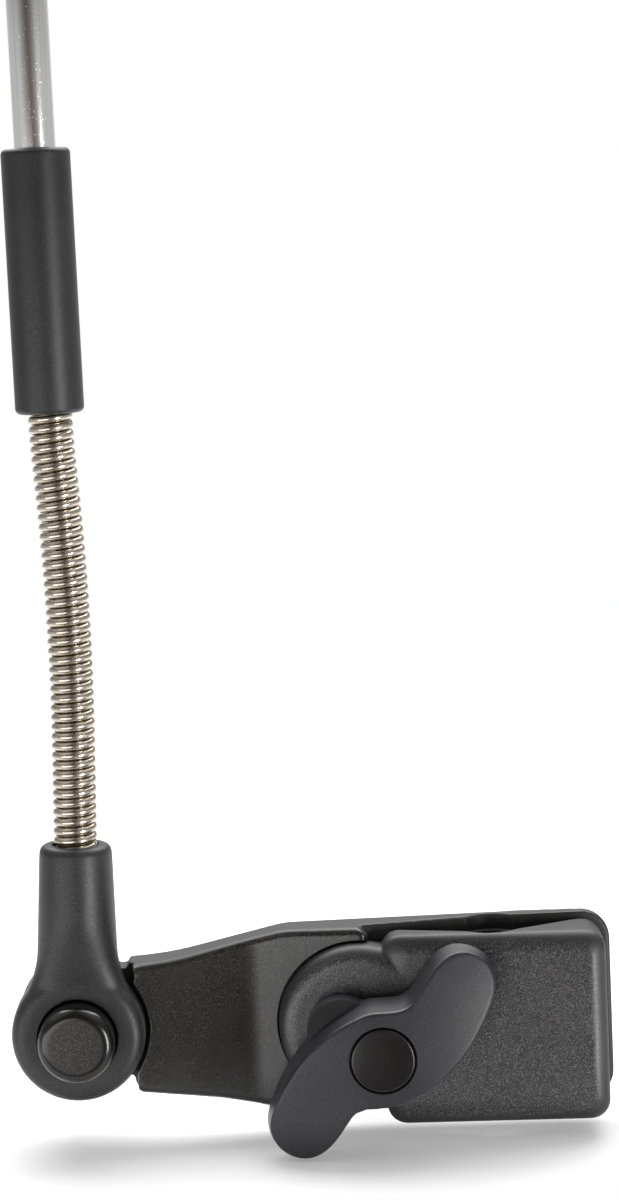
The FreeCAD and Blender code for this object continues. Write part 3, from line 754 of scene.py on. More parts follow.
@dataclass(frozen=True)
class Crown:
    """A jaw's front along X: its round end slopes evenly, and its plate bulges on past a fold."""

    fold_x: float = -18.0 * MM
    end_slope: float = -0.078
    slope: float = -0.035
    bulge: float = -1.15

    def rise(self, x: float) -> float:
        """How far the front at x lies behind the fold."""
        right, left = max(0.0, x - self.fold_x), min(0.0, x - self.fold_x)
        return right * self.slope + right * right * self.bulge + left * self.end_slope


@dataclass(frozen=True, kw_only=True)
class CrownedMoulding(FacedMoulding):
    """A moulding whose front face follows a jaw's crown."""

    crown: Crown = Crown()

    def depth_behind(self, tree: ShaderTree) -> Value:
        """How far a point lies behind the crowned face.

        Args:
            tree: the material's tree.

        Returns:
            The depth.
        """
        x, y, _ = tree.axes()
        across = x - self.crown.fold_x
        right = tree.math("MAXIMUM", across, 0.0)
        left = tree.math("MINIMUM", across, 0.0)
        face = right * self.crown.slope + right * right * self.crown.bulge + left * self.crown.end_slope
        return y - face - self.face_y


@dataclass(frozen=True, kw_only=True)
class CreasedMoulding(FacedMoulding):
    """A moulding whose front face is folded along an upright crease and falls away on both sides."""

    crease_x: float
    fall: float = 0.1

    def depth_behind(self, tree: ShaderTree) -> Value:
        """How far a point lies behind the folded face."""
        x, y, _ = tree.axes()
        return y + abs(x - self.crease_x) * self.fall - self.face_y


@dataclass(frozen=True, kw_only=True)
class TexturedFace(Moulding):
    """A moulding whose grain is strong on a round flat face and nearly gone past its rim."""

    centre: Vector
    face_r: float
    rim: float = 0.5 * MM
    fine: float = 0.4
    fade_share: float = 0.9  # of the grain that is gone past the rim
    face_rough: float = 0.20

    def surface(self, tree: ShaderTree) -> bpy.types.Node:
        """Grain faded by the distance from the face's axis, which runs along Y.

        Args:
            tree: the material's tree.

        Returns:
            The shader node.
        """
        flat = tree.node("ShaderNodeVectorMath", {"operation": "MULTIPLY"},
                         {0: tree.place(), 1: (1.0, 0.0, 1.0)})
        away = tree.value("ShaderNodeVectorMath", "Value", {"operation": "DISTANCE"},
                          {0: flat.outputs[0], 1: (self.centre.x, 0.0, self.centre.z)})
        face = 1.0 - away.ramp(self.face_r - self.rim, self.face_r + self.rim)
        cover = face * self.fade_share + (1.0 - self.fade_share)
        relief = self.relief(tree)
        raised_grain_and_sparkle = relief.ramp(*self.peak) * cover
        # Lighter peaks: partly grain tone, partly painted sparkle that stands in for glints.
        colour = tree.mix(raised_grain_and_sparkle * self.contrast, self.dark, self.light)
        rough = self.rough - raised_grain_and_sparkle * self.glint + face * self.face_rough
        return self.shader(tree, colour, rough, relief * cover)


@dataclass(frozen=True)
class Plated(Finish):
    """Bright plated metal with faint streaks, haze and dust specks."""

    colour: Colour = (0.80, 0.80, 0.79)
    shade: Colour = (0.62, 0.61, 0.60)
    rough: float = 0.12
    streak: Corner = (1.0, 1.0, 1.0)
    streak_size: float = 0.7 * MM
    streak_band: Point2 = (0.35, 0.75)
    streak_share: float = 0.5
    haze: float = 0.08
    cloud_size: float = 9.0 * MM
    cloud_share: float = 0.3
    speck_size: float = 0.45 * MM
    speck_band: Point2 = (0.77, 0.83)
    speck_rough: float = 0.35
    speck_depth: float = 0.01 * MM

    def surface(self, tree: ShaderTree) -> bpy.types.Node:
        """Streaks along the piece, slow haze, and sparse rough specks.

        Args:
            tree: the material's tree.

        Returns:
            The shader node.
        """
        streaks = tree.noise(self.streak_size, detail=2.0, stretch=self.streak)
        clouds = tree.noise(self.cloud_size, detail=3.0)
        specks = tree.noise(self.speck_size, detail=0.0).ramp(*self.speck_band)
        tone = streaks.ramp(*self.streak_band) * self.streak_share + clouds * self.cloud_share
        colour = tree.mix(tone, self.colour, self.shade)
        haze = streaks * self.haze + clouds * (self.haze / 2)
        rough = self.rough + haze + specks * self.speck_rough
        return tree.node("ShaderNodeBsdfPrincipled", None, {
            "Base Color": colour, "Metallic": 1.0, "Roughness": rough,
            "Normal": tree.bump(specks, self.speck_depth)})


@dataclass(frozen=True, kw_only=True)
class Smooth(Finish):
    """Plain moulded or rubber stock with a fine skin and slow patches."""

    dark: Colour
    light: Colour
    rough: float
    skin: float = 0.12 * MM
    skin_rough: float = 0.06
    depth: float = 0.004 * MM
    patch_size: float = 5.0 * MM
    patch_share: float = 0.7
    patch_rough: float = 0.1

    def surface(self, tree: ShaderTree) -> bpy.types.Node:
        """Fine skin over slow patches.

        Args:
            tree: the material's tree.

        Returns:
            The shader node.
        """
        skin = tree.noise(self.skin, detail=2.0)
        patches = tree.noise(self.patch_size, detail=3.0)
        tone = patches.ramp(*MIDDLE_BAND) * self.patch_share + skin * (1.0 - self.patch_share)
        colour = tree.mix(tone, self.dark, self.light)
        rough = self.rough + patches * self.patch_rough + skin * self.skin_rough
        return tree.node("ShaderNodeBsdfPrincipled", None, {
            "Base Color": colour, "Roughness": rough, "Normal": tree.bump(skin, self.depth)})


# Colours are linear; grain, depth and the other lengths are real sizes.
CLAMP = CreasedMoulding(
    "clamp_moulding", "clamp_plastic", dark=(0.0030, 0.0028, 0.0027), light=(0.052, 0.0507, 0.0503),
    depth=0.024 * MM, rough=0.23, glint=0.04, contrast=1.0, specular=0.60, peak=(0.45, 0.67), cloud=0.05,
    face_y=0.6 * MM, rim_shine=-0.32, crease_x=CREASE_X)
# The jaw is the same clamp plastic as the arm, but its colours are painted much lighter: painted light, for
# the brighter light on its plate.
JAW_PAINTED_LIGHTER = CrownedMoulding(
    "jaw_moulding_painted_lighter", "clamp_plastic", dark=(0.0040, 0.0040, 0.0043), light=(0.140, 0.140, 0.147),
    depth=0.024 * MM, rough=0.31, glint=0.04, contrast=1.0, specular=0.60, peak=(0.45, 0.67), cloud=0.03,
    face_y=-9.3 * MM, rim_shine=-0.20)
KNUCKLE = Moulding(
    "knuckle_moulding", "knuckle_plastic", dark=(0.006, 0.006, 0.0063), light=(0.036, 0.036, 0.0375),
    depth=0.020 * MM, rough=0.44, glint=0.08)
SLEEVE = Moulding(
    "sleeve_moulding", "sleeve_plastic", dark=(0.006, 0.006, 0.0064), light=(0.030, 0.030, 0.0315),
    depth=0.016 * MM, rough=0.44, grain=0.32 * MM)
KNOB = DomedMoulding(
    "knob_moulding", "knob_plastic", dark=(0.0050, 0.0050, 0.0064), light=(0.034, 0.034, 0.0430),
    depth=0.018 * MM, rough=0.42, grain=0.32 * MM, peak=(0.46, 0.70),
    face_y=-27.15 * MM, fade=0.4 * MM, rim_shine=0.08, centre=SCREW, dome_r=KNOB_DOME_R)
BUTTON = TexturedFace(
    "button_moulding", "button_plastic", dark=(0.004, 0.0038, 0.0035), light=(0.064, 0.060, 0.056),
    depth=0.05 * MM, rough=0.20, grain=0.42 * MM, glint=0.14, contrast=0.8, peak=(0.47, 0.65),
    face_r=6.7 * MM, centre=PIVOT)
CAP = Smooth(
    "cap_black", "cap_plastic", dark=(0.0030, 0.0030, 0.0031), light=(0.0060, 0.0060, 0.0062), rough=0.18)
RUBBER = Smooth(
    "pad_rubber", "soft_pad", dark=(0.006, 0.006, 0.006), light=(0.013, 0.013, 0.013), rough=0.62,
    skin=0.5 * MM, depth=0.03 * MM)
ACETAL = Smooth(
    "gear_acetal", "gear_plastic", dark=(0.50, 0.49, 0.45), light=(0.60, 0.59, 0.55), rough=0.35)
CHROME = Plated("stick_plating", "stick_chrome", streak=(1.0, 1.0, 0.02))
NICKEL = Plated(
    "coil_nickel", "nickel_coil", colour=(0.58, 0.52, 0.44), shade=(0.42, 0.37, 0.305), rough=0.18,
    streak_size=1.6 * MM)
ZINC = Plated(
    "zinc_plating", "zinc_steel", colour=(0.62, 0.62, 0.60), shade=(0.46, 0.46, 0.45), rough=0.30,
    streak_size=0.9 * MM, haze=0.16)
SPRING = Plated(
    "spring_wire", "spring_steel", colour=(0.50, 0.50, 0.49), shade=(0.34, 0.34, 0.34), rough=0.26,
    streak_size=0.6 * MM)

ZINC_NODES = (
    "screw_nut", "pivot_bolt", "pivot_washer", "pivot_nut", "clamp_screw", "thrust_washer", "lower_ferrule",
    "upper_ferrule", "lower_grub_screw", "upper_grub_screw")


def settle(obj: bpy.types.Object, finish: Finish, bodies: Sequence[str], nodes: Sequence[str],
           across: Optional[tuple[Vector, Vector]] = None) -> bpy.types.Object:
    """Dress a finished piece, hang it on its body unless it lies between two, and hide the nodes that it
    stands for.

    Args:
        obj: the piece.
        finish: its finish.
        bodies: one body that it rides on, or two that it lies between; only the first is used, and only
            without across.
        nodes: the nodes that it replaces.
        across: given for a piece between two bodies, whose place is then baked into its mesh; its points are
            not used.

    Returns:
        The piece.
    """
    finish.dress(obj)
    Bench.begin()
    if across:
        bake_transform(obj)
    else:
        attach(obj, bodies[0])
    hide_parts(*nodes)
    LOG.info("%s: %d faces", obj.name, len(obj.data.polygons))
    return obj


def keep_shape(node: str, finish: Finish) -> None:
    """Dress a node that keeps its own shape."""
    finish.dress(frame["nodes"][node])
    LOG.info("%s keeps its shape", node)


@dataclass
class NeckLine:
    """Centreline of knuckle, gooseneck, sleeve and stick: straights and gentle arcs up from the pivot."""

    level: float = -4.1 * MM
    lean: float = math.radians(1.9)
    runs: tuple[Point2, ...] = (
        (71.0 * MM, 0.0), (65.0 * MM, math.radians(-5.2)), (4.0 * MM, 0.0), (12.8 * MM, math.radians(3.1)))
    neck_top: float = 47.4 * MM
    sleeve_start: float = 152.8 * MM

    def at(self, length: float) -> tuple[Vector, float]:
        """Follow the line.

        Args:
            length: how far from the pivot.

        Returns:
            Where the line is there, and its lean to +X.
        """
        x, z, lean, left = PIVOT.x, PIVOT.z, self.lean, length
        for run, turn in (*self.runs, (math.inf, 0.0)):
            part = min(left, run)
            bend = turn * part / run if turn else 0.0
            reach = part * math.sin(bend / 2) / (bend / 2) if bend else part
            x += reach * math.sin(lean + bend / 2)
            z += reach * math.cos(lean + bend / 2)
            lean += bend
            left -= part
            if left <= 0:
                break
        return Vector((x, self.level, z)), lean

    def place(self, length: float) -> Matrix:
        """The matrix that stands local Z on the line at a length."""
        point, lean = self.at(length)
        return Matrix.Translation(point) @ Matrix.Rotation(lean, 4, "Y")


@dataclass
class Gooseneck:
    """Close-wound plated coil, cut into lengths that each span one joint of the neck."""

    line: NeckLine
    outer_r: float = 5.42 * MM
    wire: float = 2.29 * MM
    pitch: float = 2.34 * MM
    start: float = 30.63 * MM
    end: float = 168.7 * MM
    joints: int = 8

    def chain(self) -> list[str]:
        """The bodies along the neck, from the knuckle up."""
        return ["knuckle"] + [f"neck_{i}" for i in range(1, self.joints)] + ["upper"]

    def winding(self, name: str, low: float, high: float) -> bpy.types.Object:
        """One length of the coil, from low to high along the neck.

        Args:
            name: the piece's name.
            low: its start.
            high: its end.

        Returns:
            The closed winding, laid along the neck's line.
        """
        turns = (high - low) / self.pitch
        obj = Bench.wound(name, self.outer_r - self.wire / 2, self.wire, turns, high - low)
        phase = 2 * math.pi * (low - self.start) / self.pitch
        obj.data.transform(Matrix.Rotation(phase, 4, "Z"))
        for vertex in obj.data.vertices:
            point, lean = self.line.at(low + vertex.co.z)
            across = Vector((math.cos(lean), 0, -math.sin(lean)))
            vertex.co = point + across * vertex.co.x + Vector((0, vertex.co.y, 0))
        return Bench.smooth(obj, Shading.WIRE)

    def build(self) -> None:
        """Wind every length over its joint, and dress the core's links."""
        bottom, top = self.line.neck_top, self.line.sleeve_start
        share = (top - bottom) / self.joints
        bodies = self.chain()
        for i in range(self.joints):
            bend = (bottom + share * i, bottom + share * (i + 1))
            low = self.start if i == 0 else bend[0]
            high = self.end if i == self.joints - 1 else bend[1]
            obj = self.winding(f"neck_winding_{i + 1}", low, high)
            ends = (self.line.at(bend[0])[0], self.line.at(bend[1])[0])
            settle(obj, NICKEL, bodies[i:i + 2], ["neck_coil"], ends)
        for i in range(1, self.joints):
            keep_shape(f"neck_core_{i}", ZINC)


@dataclass
class StickEnd:
    """Black sleeve and the start of the plated stick."""

    line: NeckLine
    sleeve_r: float = 8.3 * MM
    sleeve_length: float = 63.1 * MM
    sleeve_edge: float = 1.4 * MM
    coil_bore_r: float = 5.62 * MM
    coil_depth: float = 20.0 * MM
    stop_bore_r: float = 4.4 * MM
    stick_r: float = 5.0 * MM
    stick_wall: float = 0.9 * MM
    stick_depth: float = 27.0 * MM
    stick_out: float = 48.0 * MM
    mouth: float = 0.12 * MM
    lip: float = 0.3 * MM
    grub_r: float = 1.5 * MM
    grub_back: float = 12.0 * MM

    def sleeve(self) -> bpy.types.Object:
        """Sleeve with rounded ends, bored for the coil, the stick and a grub screw.

        Returns:
            The sleeve in its place.
        """
        ledge = self.sleeve_length - self.stick_depth
        seat = self.stick_r + self.mouth
        profile = rounded_loop([
            (self.coil_bore_r, 0, self.lip), (self.sleeve_r, 0, self.sleeve_edge),
            (self.sleeve_r, self.sleeve_length, self.sleeve_edge), (seat, self.sleeve_length, self.lip),
            (seat, ledge, 0), (self.stop_bore_r, ledge, 0), (self.stop_bore_r, self.coil_depth, 0),
            (self.coil_bore_r, self.coil_depth, 0)])
        obj = Bench.turned("sleeve_shell", profile, Matrix.Identity(4), Sides.FINE)
        grub = Matrix.Translation((0, self.stick_r, self.sleeve_length - self.grub_back)) @ ALONG_Y
        Bench.shape(obj, Bench.turned("tool", bar(self.grub_r, 0, self.sleeve_r), grub, Sides.GRUB))
        obj.data.transform(self.line.place(self.line.sleeve_start))
        return Bench.smooth(obj)

    def stick(self) -> bpy.types.Object:
        """Open tube with deburred ends.

        Returns:
            The tube in its place.
        """
        length = self.stick_depth + self.stick_out
        inner = self.stick_r - self.stick_wall
        profile = rounded_loop([
            (inner, 0, self.lip), (self.stick_r, 0, self.lip), (self.stick_r, length, self.lip),
            (inner, length, self.lip)], steps=4)
        start = self.line.sleeve_start + self.sleeve_length - self.stick_depth
        return Bench.smooth(Bench.turned("stick_end", profile, self.line.place(start), Sides.FINE))

    def build(self) -> None:
        """Make both pieces."""
        settle(self.sleeve(), SLEEVE, ["upper"], ["sleeve"])
        settle(self.stick(), CHROME, ["upper"], ["stick_tube"])


@dataclass
class TiltJoint:
    """Knuckle with its ring and neck, and the push button in the ring; modelled upright at the origin."""

    line: NeckLine
    front: float = -10.2 * MM
    back: float = 2.0 * MM
    ring_r: float = 16.4 * MM
    ring_edge: float = 3.6 * MM
    back_edge: float = 0.6 * MM
    flare_low: float = 0.62  # where the flare starts, as a share of ring_r
    flare_wide: float = 12.8 * MM
    flare_end: float = 21.0 * MM
    flare_square: float = 1.4  # how much squarer than an ellipse the flare starts
    flare_steps: int = 14
    flare_tuck: float = 0.98  # its end inside the neck, as a share of neck_low_r
    neck_low: float = 31.0 * MM
    neck_low_r: float = 9.45 * MM
    neck_top_r: float = 8.85 * MM
    neck_edge: float = 2.0 * MM
    neck_seam: float = math.radians(1)  # turn that keeps its edges off the flare's
    melt: Softness = (0.45 * MM, 14)
    skin: Softness = (0.34 * MM, 3)
    socket_r: float = 5.62 * MM
    socket_depth: float = 20.0 * MM
    hole_r: float = 9.7 * MM
    web_front: float = -4.6 * MM
    web_back: float = -3.0 * MM
    gear_room_r: float = 12.3 * MM
    hub_room_r: float = 16.4 * MM
    bolt_room_r: float = 2.6 * MM
    grub_r: float = 1.5 * MM
    grub_at: float = 39.0 * MM
    button_r: float = 9.4 * MM
    button_out: float = 8.0 * MM
    button_edge: float = 2.6 * MM
    button_wall: float = 1.5 * MM
    button_roof: float = 2.2 * MM
    skirt_end: float = -8.9 * MM
    skirt_edge: float = 0.2 * MM
    legs: int = 3
    leg_in: float = 5.6 * MM
    leg_thick: float = 1.6 * MM
    leg_wide: float = 4.0 * MM
    leg_end: float = -1.65 * MM
    hook: float = 0.7 * MM
    hook_gap: float = 0.05 * MM
    ease: float = 0.15 * MM

    def leaned(self) -> Matrix:
        """The matrix that takes the upright joint to the pivot and to its lean."""
        return Matrix.Translation((PIVOT.x, 0, PIVOT.z)) @ Matrix.Rotation(self.line.lean, 4, "Y")

    def ring_of(self, height: float, wide: float, deep: float, power: float = 2.0,
                count: int = 48) -> list[Vector]:
        """A superellipse across the neck.

        Args:
            height: how far above the pivot.
            wide: half its width.
            deep: half its depth.
            power: 2 for an ellipse, more for a squarer ring.
            count: its points.

        Returns:
            The ring.
        """
        points = []
        for k in range(count):
            angle = 2 * math.pi * k / count
            c, s = math.cos(angle), math.sin(angle)
            x = wide * math.copysign(abs(c) ** (2 / power), c)
            y = deep * math.copysign(abs(s) ** (2 / power), s)
            points.append(Vector((x, self.line.level + y, height)))
        return points

    def flare(self) -> bpy.types.Object:
        """The swelling between the flat ring and the round neck.

        Returns:
            The closed swelling.
        """
        half = (self.back - self.front) / 2
        low = self.ring_r * self.flare_low
        slope = (self.neck_top_r - self.neck_low_r) / (self.line.neck_top - self.neck_low)
        rings = []
        for i in range(self.flare_steps + 1):
            share = i / self.flare_steps
            height = low + (self.neck_low - low) * share
            round_r = self.neck_low_r + slope * (height - self.neck_low)
            spread = max(0.0, (self.flare_end - height) / (self.flare_end - low))
            wide = round_r + (self.flare_wide - round_r) * spread ** 2
            deep = half + (round_r - half) * share * share * (3 - 2 * share)
            rings.append(self.ring_of(height, wide, deep, 2.0 + self.flare_square * (1 - share) ** 2))
        tuck = self.neck_low_r * self.flare_tuck
        rings.append(self.ring_of(self.neck_low + self.neck_edge, tuck, tuck))
        return Bench.lofted("flare", rings)

    def leg_boxes(self, grow: float, start: float, end: float, thick: float) -> list[bpy.types.Object]:
        """Boxes where the button's legs run.

        Args:
            grow: how much wider they are on each side.
            start: where they start along Y.
            end: where they end.
            thick: their thickness, away from the axis.

        Returns:
            One box for each leg.
        """
        boxes = []
        for i in range(self.legs):
            outline = rectangle(self.leg_in - grow, self.leg_in + thick + grow, self.leg_wide / 2 + grow)
            box = Bench.slab("leg", outline, Plane.FRONT, start, end)
            box.data.transform(Matrix.Rotation(2 * math.pi * i / self.legs + math.pi / 2, 4, "Y"))
            boxes.append(box)
        return boxes

    def knuckle(self) -> bpy.types.Object:
        """Ring, flare and neck melted together, then bored.

        Returns:
            The knuckle in its place.
        """
        obj = Bench.turned("knuckle_body", rounded_loop([
            (0, self.front, 0), (self.ring_r, self.front, self.ring_edge),
            (self.ring_r, self.back, self.back_edge), (0, self.back, 0)]), ALONG_Y)
        Bench.shape(obj, self.flare(), Cut.JOIN)
        upright = Matrix.Translation((0, self.line.level, 0))
        neck = Bench.turned("neck", rounded_loop([
            (0, self.neck_low, 0), (self.neck_low_r, self.neck_low, 0),
            (self.neck_top_r, self.line.neck_top, self.neck_edge), (0, self.line.neck_top, 0)]),
            upright @ Matrix.Rotation(self.neck_seam, 4, "Z"))
        Bench.shape(obj, neck, Cut.JOIN)
        Bench.soften(obj, *self.melt)
        past = self.ring_r
        middle = Vector((0, 0, 0))
        Bench.drill(obj, middle, self.hub_room_r, self.back, self.back + past)
        Bench.drill(obj, middle, self.hole_r, self.front - past, self.web_front)
        Bench.drill(obj, middle, self.gear_room_r, self.web_back, self.back + past)
        Bench.drill(obj, middle, self.bolt_room_r, self.front, self.back, Sides.BOLT)
        slot_start, slot_end = self.web_front - self.ease, self.web_back + self.ease
        for slot in self.leg_boxes(self.ease, slot_start, slot_end, self.leg_thick):
            Bench.shape(obj, slot)
        top, low = self.line.neck_top + self.neck_edge, self.line.neck_top - self.socket_depth
        Bench.shape(obj, Bench.turned("tool", bar(self.socket_r, low, top), upright))
        grub_start = self.line.level + self.socket_r - self.ease
        Bench.drill(obj, Vector((0, 0, self.grub_at)), self.grub_r, grub_start, past, Sides.GRUB)
        Bench.soften(obj, *self.skin)
        obj.data.transform(self.leaned())
        return Bench.smooth(obj, Shading.MELTED)

    def button(self) -> bpy.types.Object:
        """Hollow push button with its hooked legs.

        Returns:
            The button in its place.
        """
        face = self.front - self.button_out
        inner = self.button_r - self.button_wall
        ceiling = face + self.button_roof
        profile = rounded_loop([
            (0, face, 0), (self.button_r, face, self.button_edge),
            (self.button_r, self.skirt_end, self.skirt_edge), (inner, self.skirt_end, self.skirt_edge),
            (inner, ceiling, 0), (0, ceiling, 0)], steps=12)
        obj = Bench.turned("push_button", profile, ALONG_Y, Sides.FINE)
        legs = self.leg_boxes(0, face + self.button_roof / 2, self.leg_end, self.leg_thick)
        hooks = self.leg_boxes(0, self.web_back + self.hook_gap, self.leg_end, self.leg_thick + self.hook)
        for box in legs + hooks:
            Bench.shape(obj, box, Cut.JOIN)
        obj.data.transform(self.leaned())
        return Bench.smooth(obj)

    def build(self) -> None:
        """Make both pieces."""
        settle(self.knuckle(), KNUCKLE, ["knuckle"], ["knuckle"])
        settle(self.button(), BUTTON, ["button"], ["release_button"])


@dataclass(frozen=True)
class Groove:
    """The jaws' groove for the tube: the tube's radius, its lining, and half its angle in degrees."""

    tube_r: float = 6.0 * MM
    lining: float = 1.4 * MM
    half_angle: float = 50.0

    def lined(self) -> list[Point2]:
        """The tube's side of the back lining in plan, from left to right."""
        return arc((0, 0), self.tube_r, 90.0 + self.half_angle, 90.0 - self.half_angle)

    def wall(self) -> list[Point2]:
        """The groove's wall behind the tube in plan, from left to right."""
        return arc((0, 0), self.tube_r + self.lining, 90.0 + self.half_angle, 90.0 - self.half_angle)


@dataclass
class ClampBody:
    """Arm with the hub and the fixed back jaw, its hub cover and its screw shroud."""

    half_height: float = 23.5 * MM
    right: float = 29.8 * MM
    corner_r: float = 7.0 * MM
    root_x: float = -93.0 * MM
    root_top: float = 15.2 * MM
    root_bottom: float = -12.1 * MM
    root_end_x: float = -89.4 * MM
    tip_rise: float = 0.6 * MM
    top_line: tuple[Corner, ...] = (
        (-90.6 * MM, 16.5 * MM, 0.6 * MM), (-79.0 * MM, 17.3 * MM, 80 * MM), (-51.0 * MM, 23.5 * MM, 20 * MM))
    bottom_line: tuple[Corner, ...] = (
        (-46.5 * MM, -23.5 * MM, 20 * MM), (-68.0 * MM, -18.5 * MM, 60 * MM),
        (-91.4 * MM, -15.2 * MM, 2.8 * MM))
    end_roll: Point2 = (1.4 * MM, 1.4 * MM)
    end_level: float = -2.3 * MM
    front: float = -2.9 * MM
    back: float = 9.5 * MM
    crease: Point2 = (CREASE_X, 0.2 * MM)
    shoulder_x: float = -30.3 * MM
    # Width and depth of each shoulder cut, and 1 for the top or -1 for the bottom.
    shoulder_cuts: tuple[Corner, ...] = ((2.2 * MM, 2.0 * MM, 1), (4.5 * MM, 2.2 * MM, -1))
    shoulder_past: float = 0.5 * MM
    floor: float = 1.7 * MM
    tip: Point2 = (21.0 * MM, 4.3 * MM)
    tip_thick: float = 3.2 * MM
    tip_bend_x: float = 6.0 * MM
    groove: Groove = Groove()
    edge: float = 1.8 * MM
    # Limits that tell the front rims from other edges.
    rim_margin: float = 0.1 * MM
    rim_drop: float = 3.0 * MM
    rim_run: float = 0.02 * MM
    rim_clear: float = 0.3 * MM
    arm_end_x: float = -88.6 * MM
    melt: Softness = (0.46 * MM, 5)
    hub_r: float = 16.0 * MM
    hub_front: float = 2.3 * MM
    hub_back: float = 17.4 * MM
    hub_floor: float = 10.3 * MM
    hub_edge: float = 1.0 * MM
    cover_r: float = 10.0 * MM
    cover_t: float = 1.6 * MM
    cover_edge: float = 0.5 * MM
    ring_room_r: float = 16.9 * MM
    gear_room_r: float = 12.3 * MM
    pocket_r: float = 20.7 * MM
    boss_r: float = 7.57 * MM
    boss_back: float = 11.5 * MM
    spring_room_r: float = 6.4 * MM
    spring_floor: float = 4.5 * MM
    screw_room_r: float = 3.3 * MM
    nut_seat: float = 6.5 * MM
    nut_corner_r: float = 5.85 * MM
    shroud_end: float = 29.8 * MM
    shroud_roof: float = 2.0 * MM
    shroud_edge: float = 1.8 * MM
    shroud_lip: float = 0.3 * MM
    shroud_bore_r: float = 3.6 * MM
    hair: float = 0.02 * MM

    def blank(self) -> bpy.types.Object:
        """The arm and the back jaw before any boring: a front outline trimmed to a plan.

        Returns:
            The closed blank with rounded front rims.
        """
        outline = rounded_loop([
            (self.root_x, self.root_top, 0), (self.root_end_x, self.root_top, 0), *self.top_line,
            (self.right, self.half_height + self.tip_rise, self.corner_r),
            (self.right, -self.half_height, self.corner_r), *self.bottom_line,
            (self.root_end_x, self.root_bottom, 0), (self.root_x, self.root_bottom, 0)], steps=10)
        obj = Bench.slab("clamp_body", outline, Plane.FRONT, self.front - self.edge, self.back)
        left, right = self.root_x - self.edge, self.right + self.edge
        plan = [
            (right, self.tip[1]), (right, self.tip[1] + self.tip_thick), (self.tip_bend_x, self.back),
            (left, self.back), (left, self.front), self.crease, (self.shoulder_x, self.front),
            (self.shoulder_x, self.floor), *self.groove.wall(), self.tip]
        tall = 2 * self.half_height
        Bench.shape(obj, Bench.slab("tool", plan, Plane.PLAN, -tall, tall), Cut.KEEP)
        Bench.bevel(obj, self.on_front_rim, self.edge, segments=5)
        return obj

    def arm(self) -> bpy.types.Object:
        """Arm, hub and back jaw as one moulding.

        Returns:
            The moulding.
        """
        obj = self.blank()
        tall = 2 * self.half_height
        ahead = self.front - 2 * self.edge
        for wide, deep, up in self.shoulder_cuts:
            start, end = self.shoulder_x - wide, self.shoulder_x + self.shoulder_past
            level = up * (self.half_height - deep)
            wedge = [(start, up * tall), (end, up * tall), (end, level), (self.shoulder_x, level),
                     (start, up * self.half_height)]
            Bench.shape(obj, Bench.slab("tool", wedge, Plane.FRONT, ahead, self.floor - self.hair))
        root = rectangle(self.root_x - self.edge, self.arm_end_x, tall)
        Bench.shape(obj, Bench.slab("tool", root, Plane.FRONT, ahead, self.hub_front + 2 * self.hair))
        hub = Bench.rod(PIVOT, self.hub_r, self.hub_front, self.hub_back, self.hub_edge)
        Bench.shape(obj, hub, Cut.JOIN)
        Bench.shape(obj, Bench.rod(SCREW, self.boss_r, self.back - self.edge, self.boss_back), Cut.JOIN)
        cover_seat = self.hub_back - self.cover_t
        Bench.drill(obj, PIVOT, self.gear_room_r, ahead, self.hub_floor, Sides.HUB)
        Bench.drill(obj, PIVOT, self.cover_r + self.hair, cover_seat, self.hub_back + self.edge, Sides.HUB)
        Bench.drill(obj, SCREW, self.spring_room_r, ahead, self.spring_floor, Sides.SPRING)
        Bench.drill(obj, SCREW, self.screw_room_r, ahead, self.boss_back + self.edge, Sides.SCREW)
        past = self.boss_back + 2 * self.edge
        Bench.drill(obj, SCREW, self.nut_corner_r, self.nut_seat, past, Sides.NUT)
        Bench.soften(obj, *self.melt)
        Bench.shape(obj, self.ring_room(ahead))
        Bench.drill(obj, POCKET, self.pocket_r, ahead, self.floor + self.hair, Sides.POCKET)
        return Bench.smooth(Bench.close(obj), Shading.MOULDED)

    def ring_room(self, ahead: float) -> bpy.types.Object:
        """The tool that hollows the arm's end round the ring, with a flared mouth that rounds the rim.

        Args:
            ahead: where it starts, in front of the arm.

        Returns:
            The closed tool.
        """
        wide, deep = self.end_roll
        end = self.hub_front + self.hair
        mouth = [(self.ring_room_r + wide * u, self.end_level + deep * v)
                 for u, v in arc((1, 1), 1, 270, 180, steps=12)]
        profile = [(0, ahead), (self.ring_room_r + wide, ahead), *mouth, (self.ring_room_r, end), (0, end)]
        return Bench.turned("room", profile, along_y(PIVOT) @ SEAM_TURN, Sides.ROD)

    def on_front_rim(self, a: Vector, b: Vector) -> bool:
        """Find the arm's top and bottom front edges.

        Args:
            a: one end of an edge.
            b: its other end.

        Returns:
            True if the edge is one of them.
        """
        level = self.crease[1] + self.rim_margin
        in_front = a.y < level and b.y < level
        runs_on = abs(a.z - b.z) < self.rim_drop and abs(a.x - b.x) > self.rim_run
        outside = min(abs(a.z), abs(b.z)) > abs(self.root_bottom) + self.rim_clear
        return in_front and runs_on and outside

    def cover(self) -> bpy.types.Object:
        """Disc that closes the hub's back.

        Returns:
            The disc.
        """
        start, end = self.hub_back - self.cover_t, self.hub_back
        profile = rounded_loop([
            (0, start, 0), (self.cover_r, start, 0), (self.cover_r, end, self.cover_edge),
            (0, end, 0)], steps=5)
        return Bench.smooth(Bench.turned("hub_disc", profile, along_y(PIVOT)))

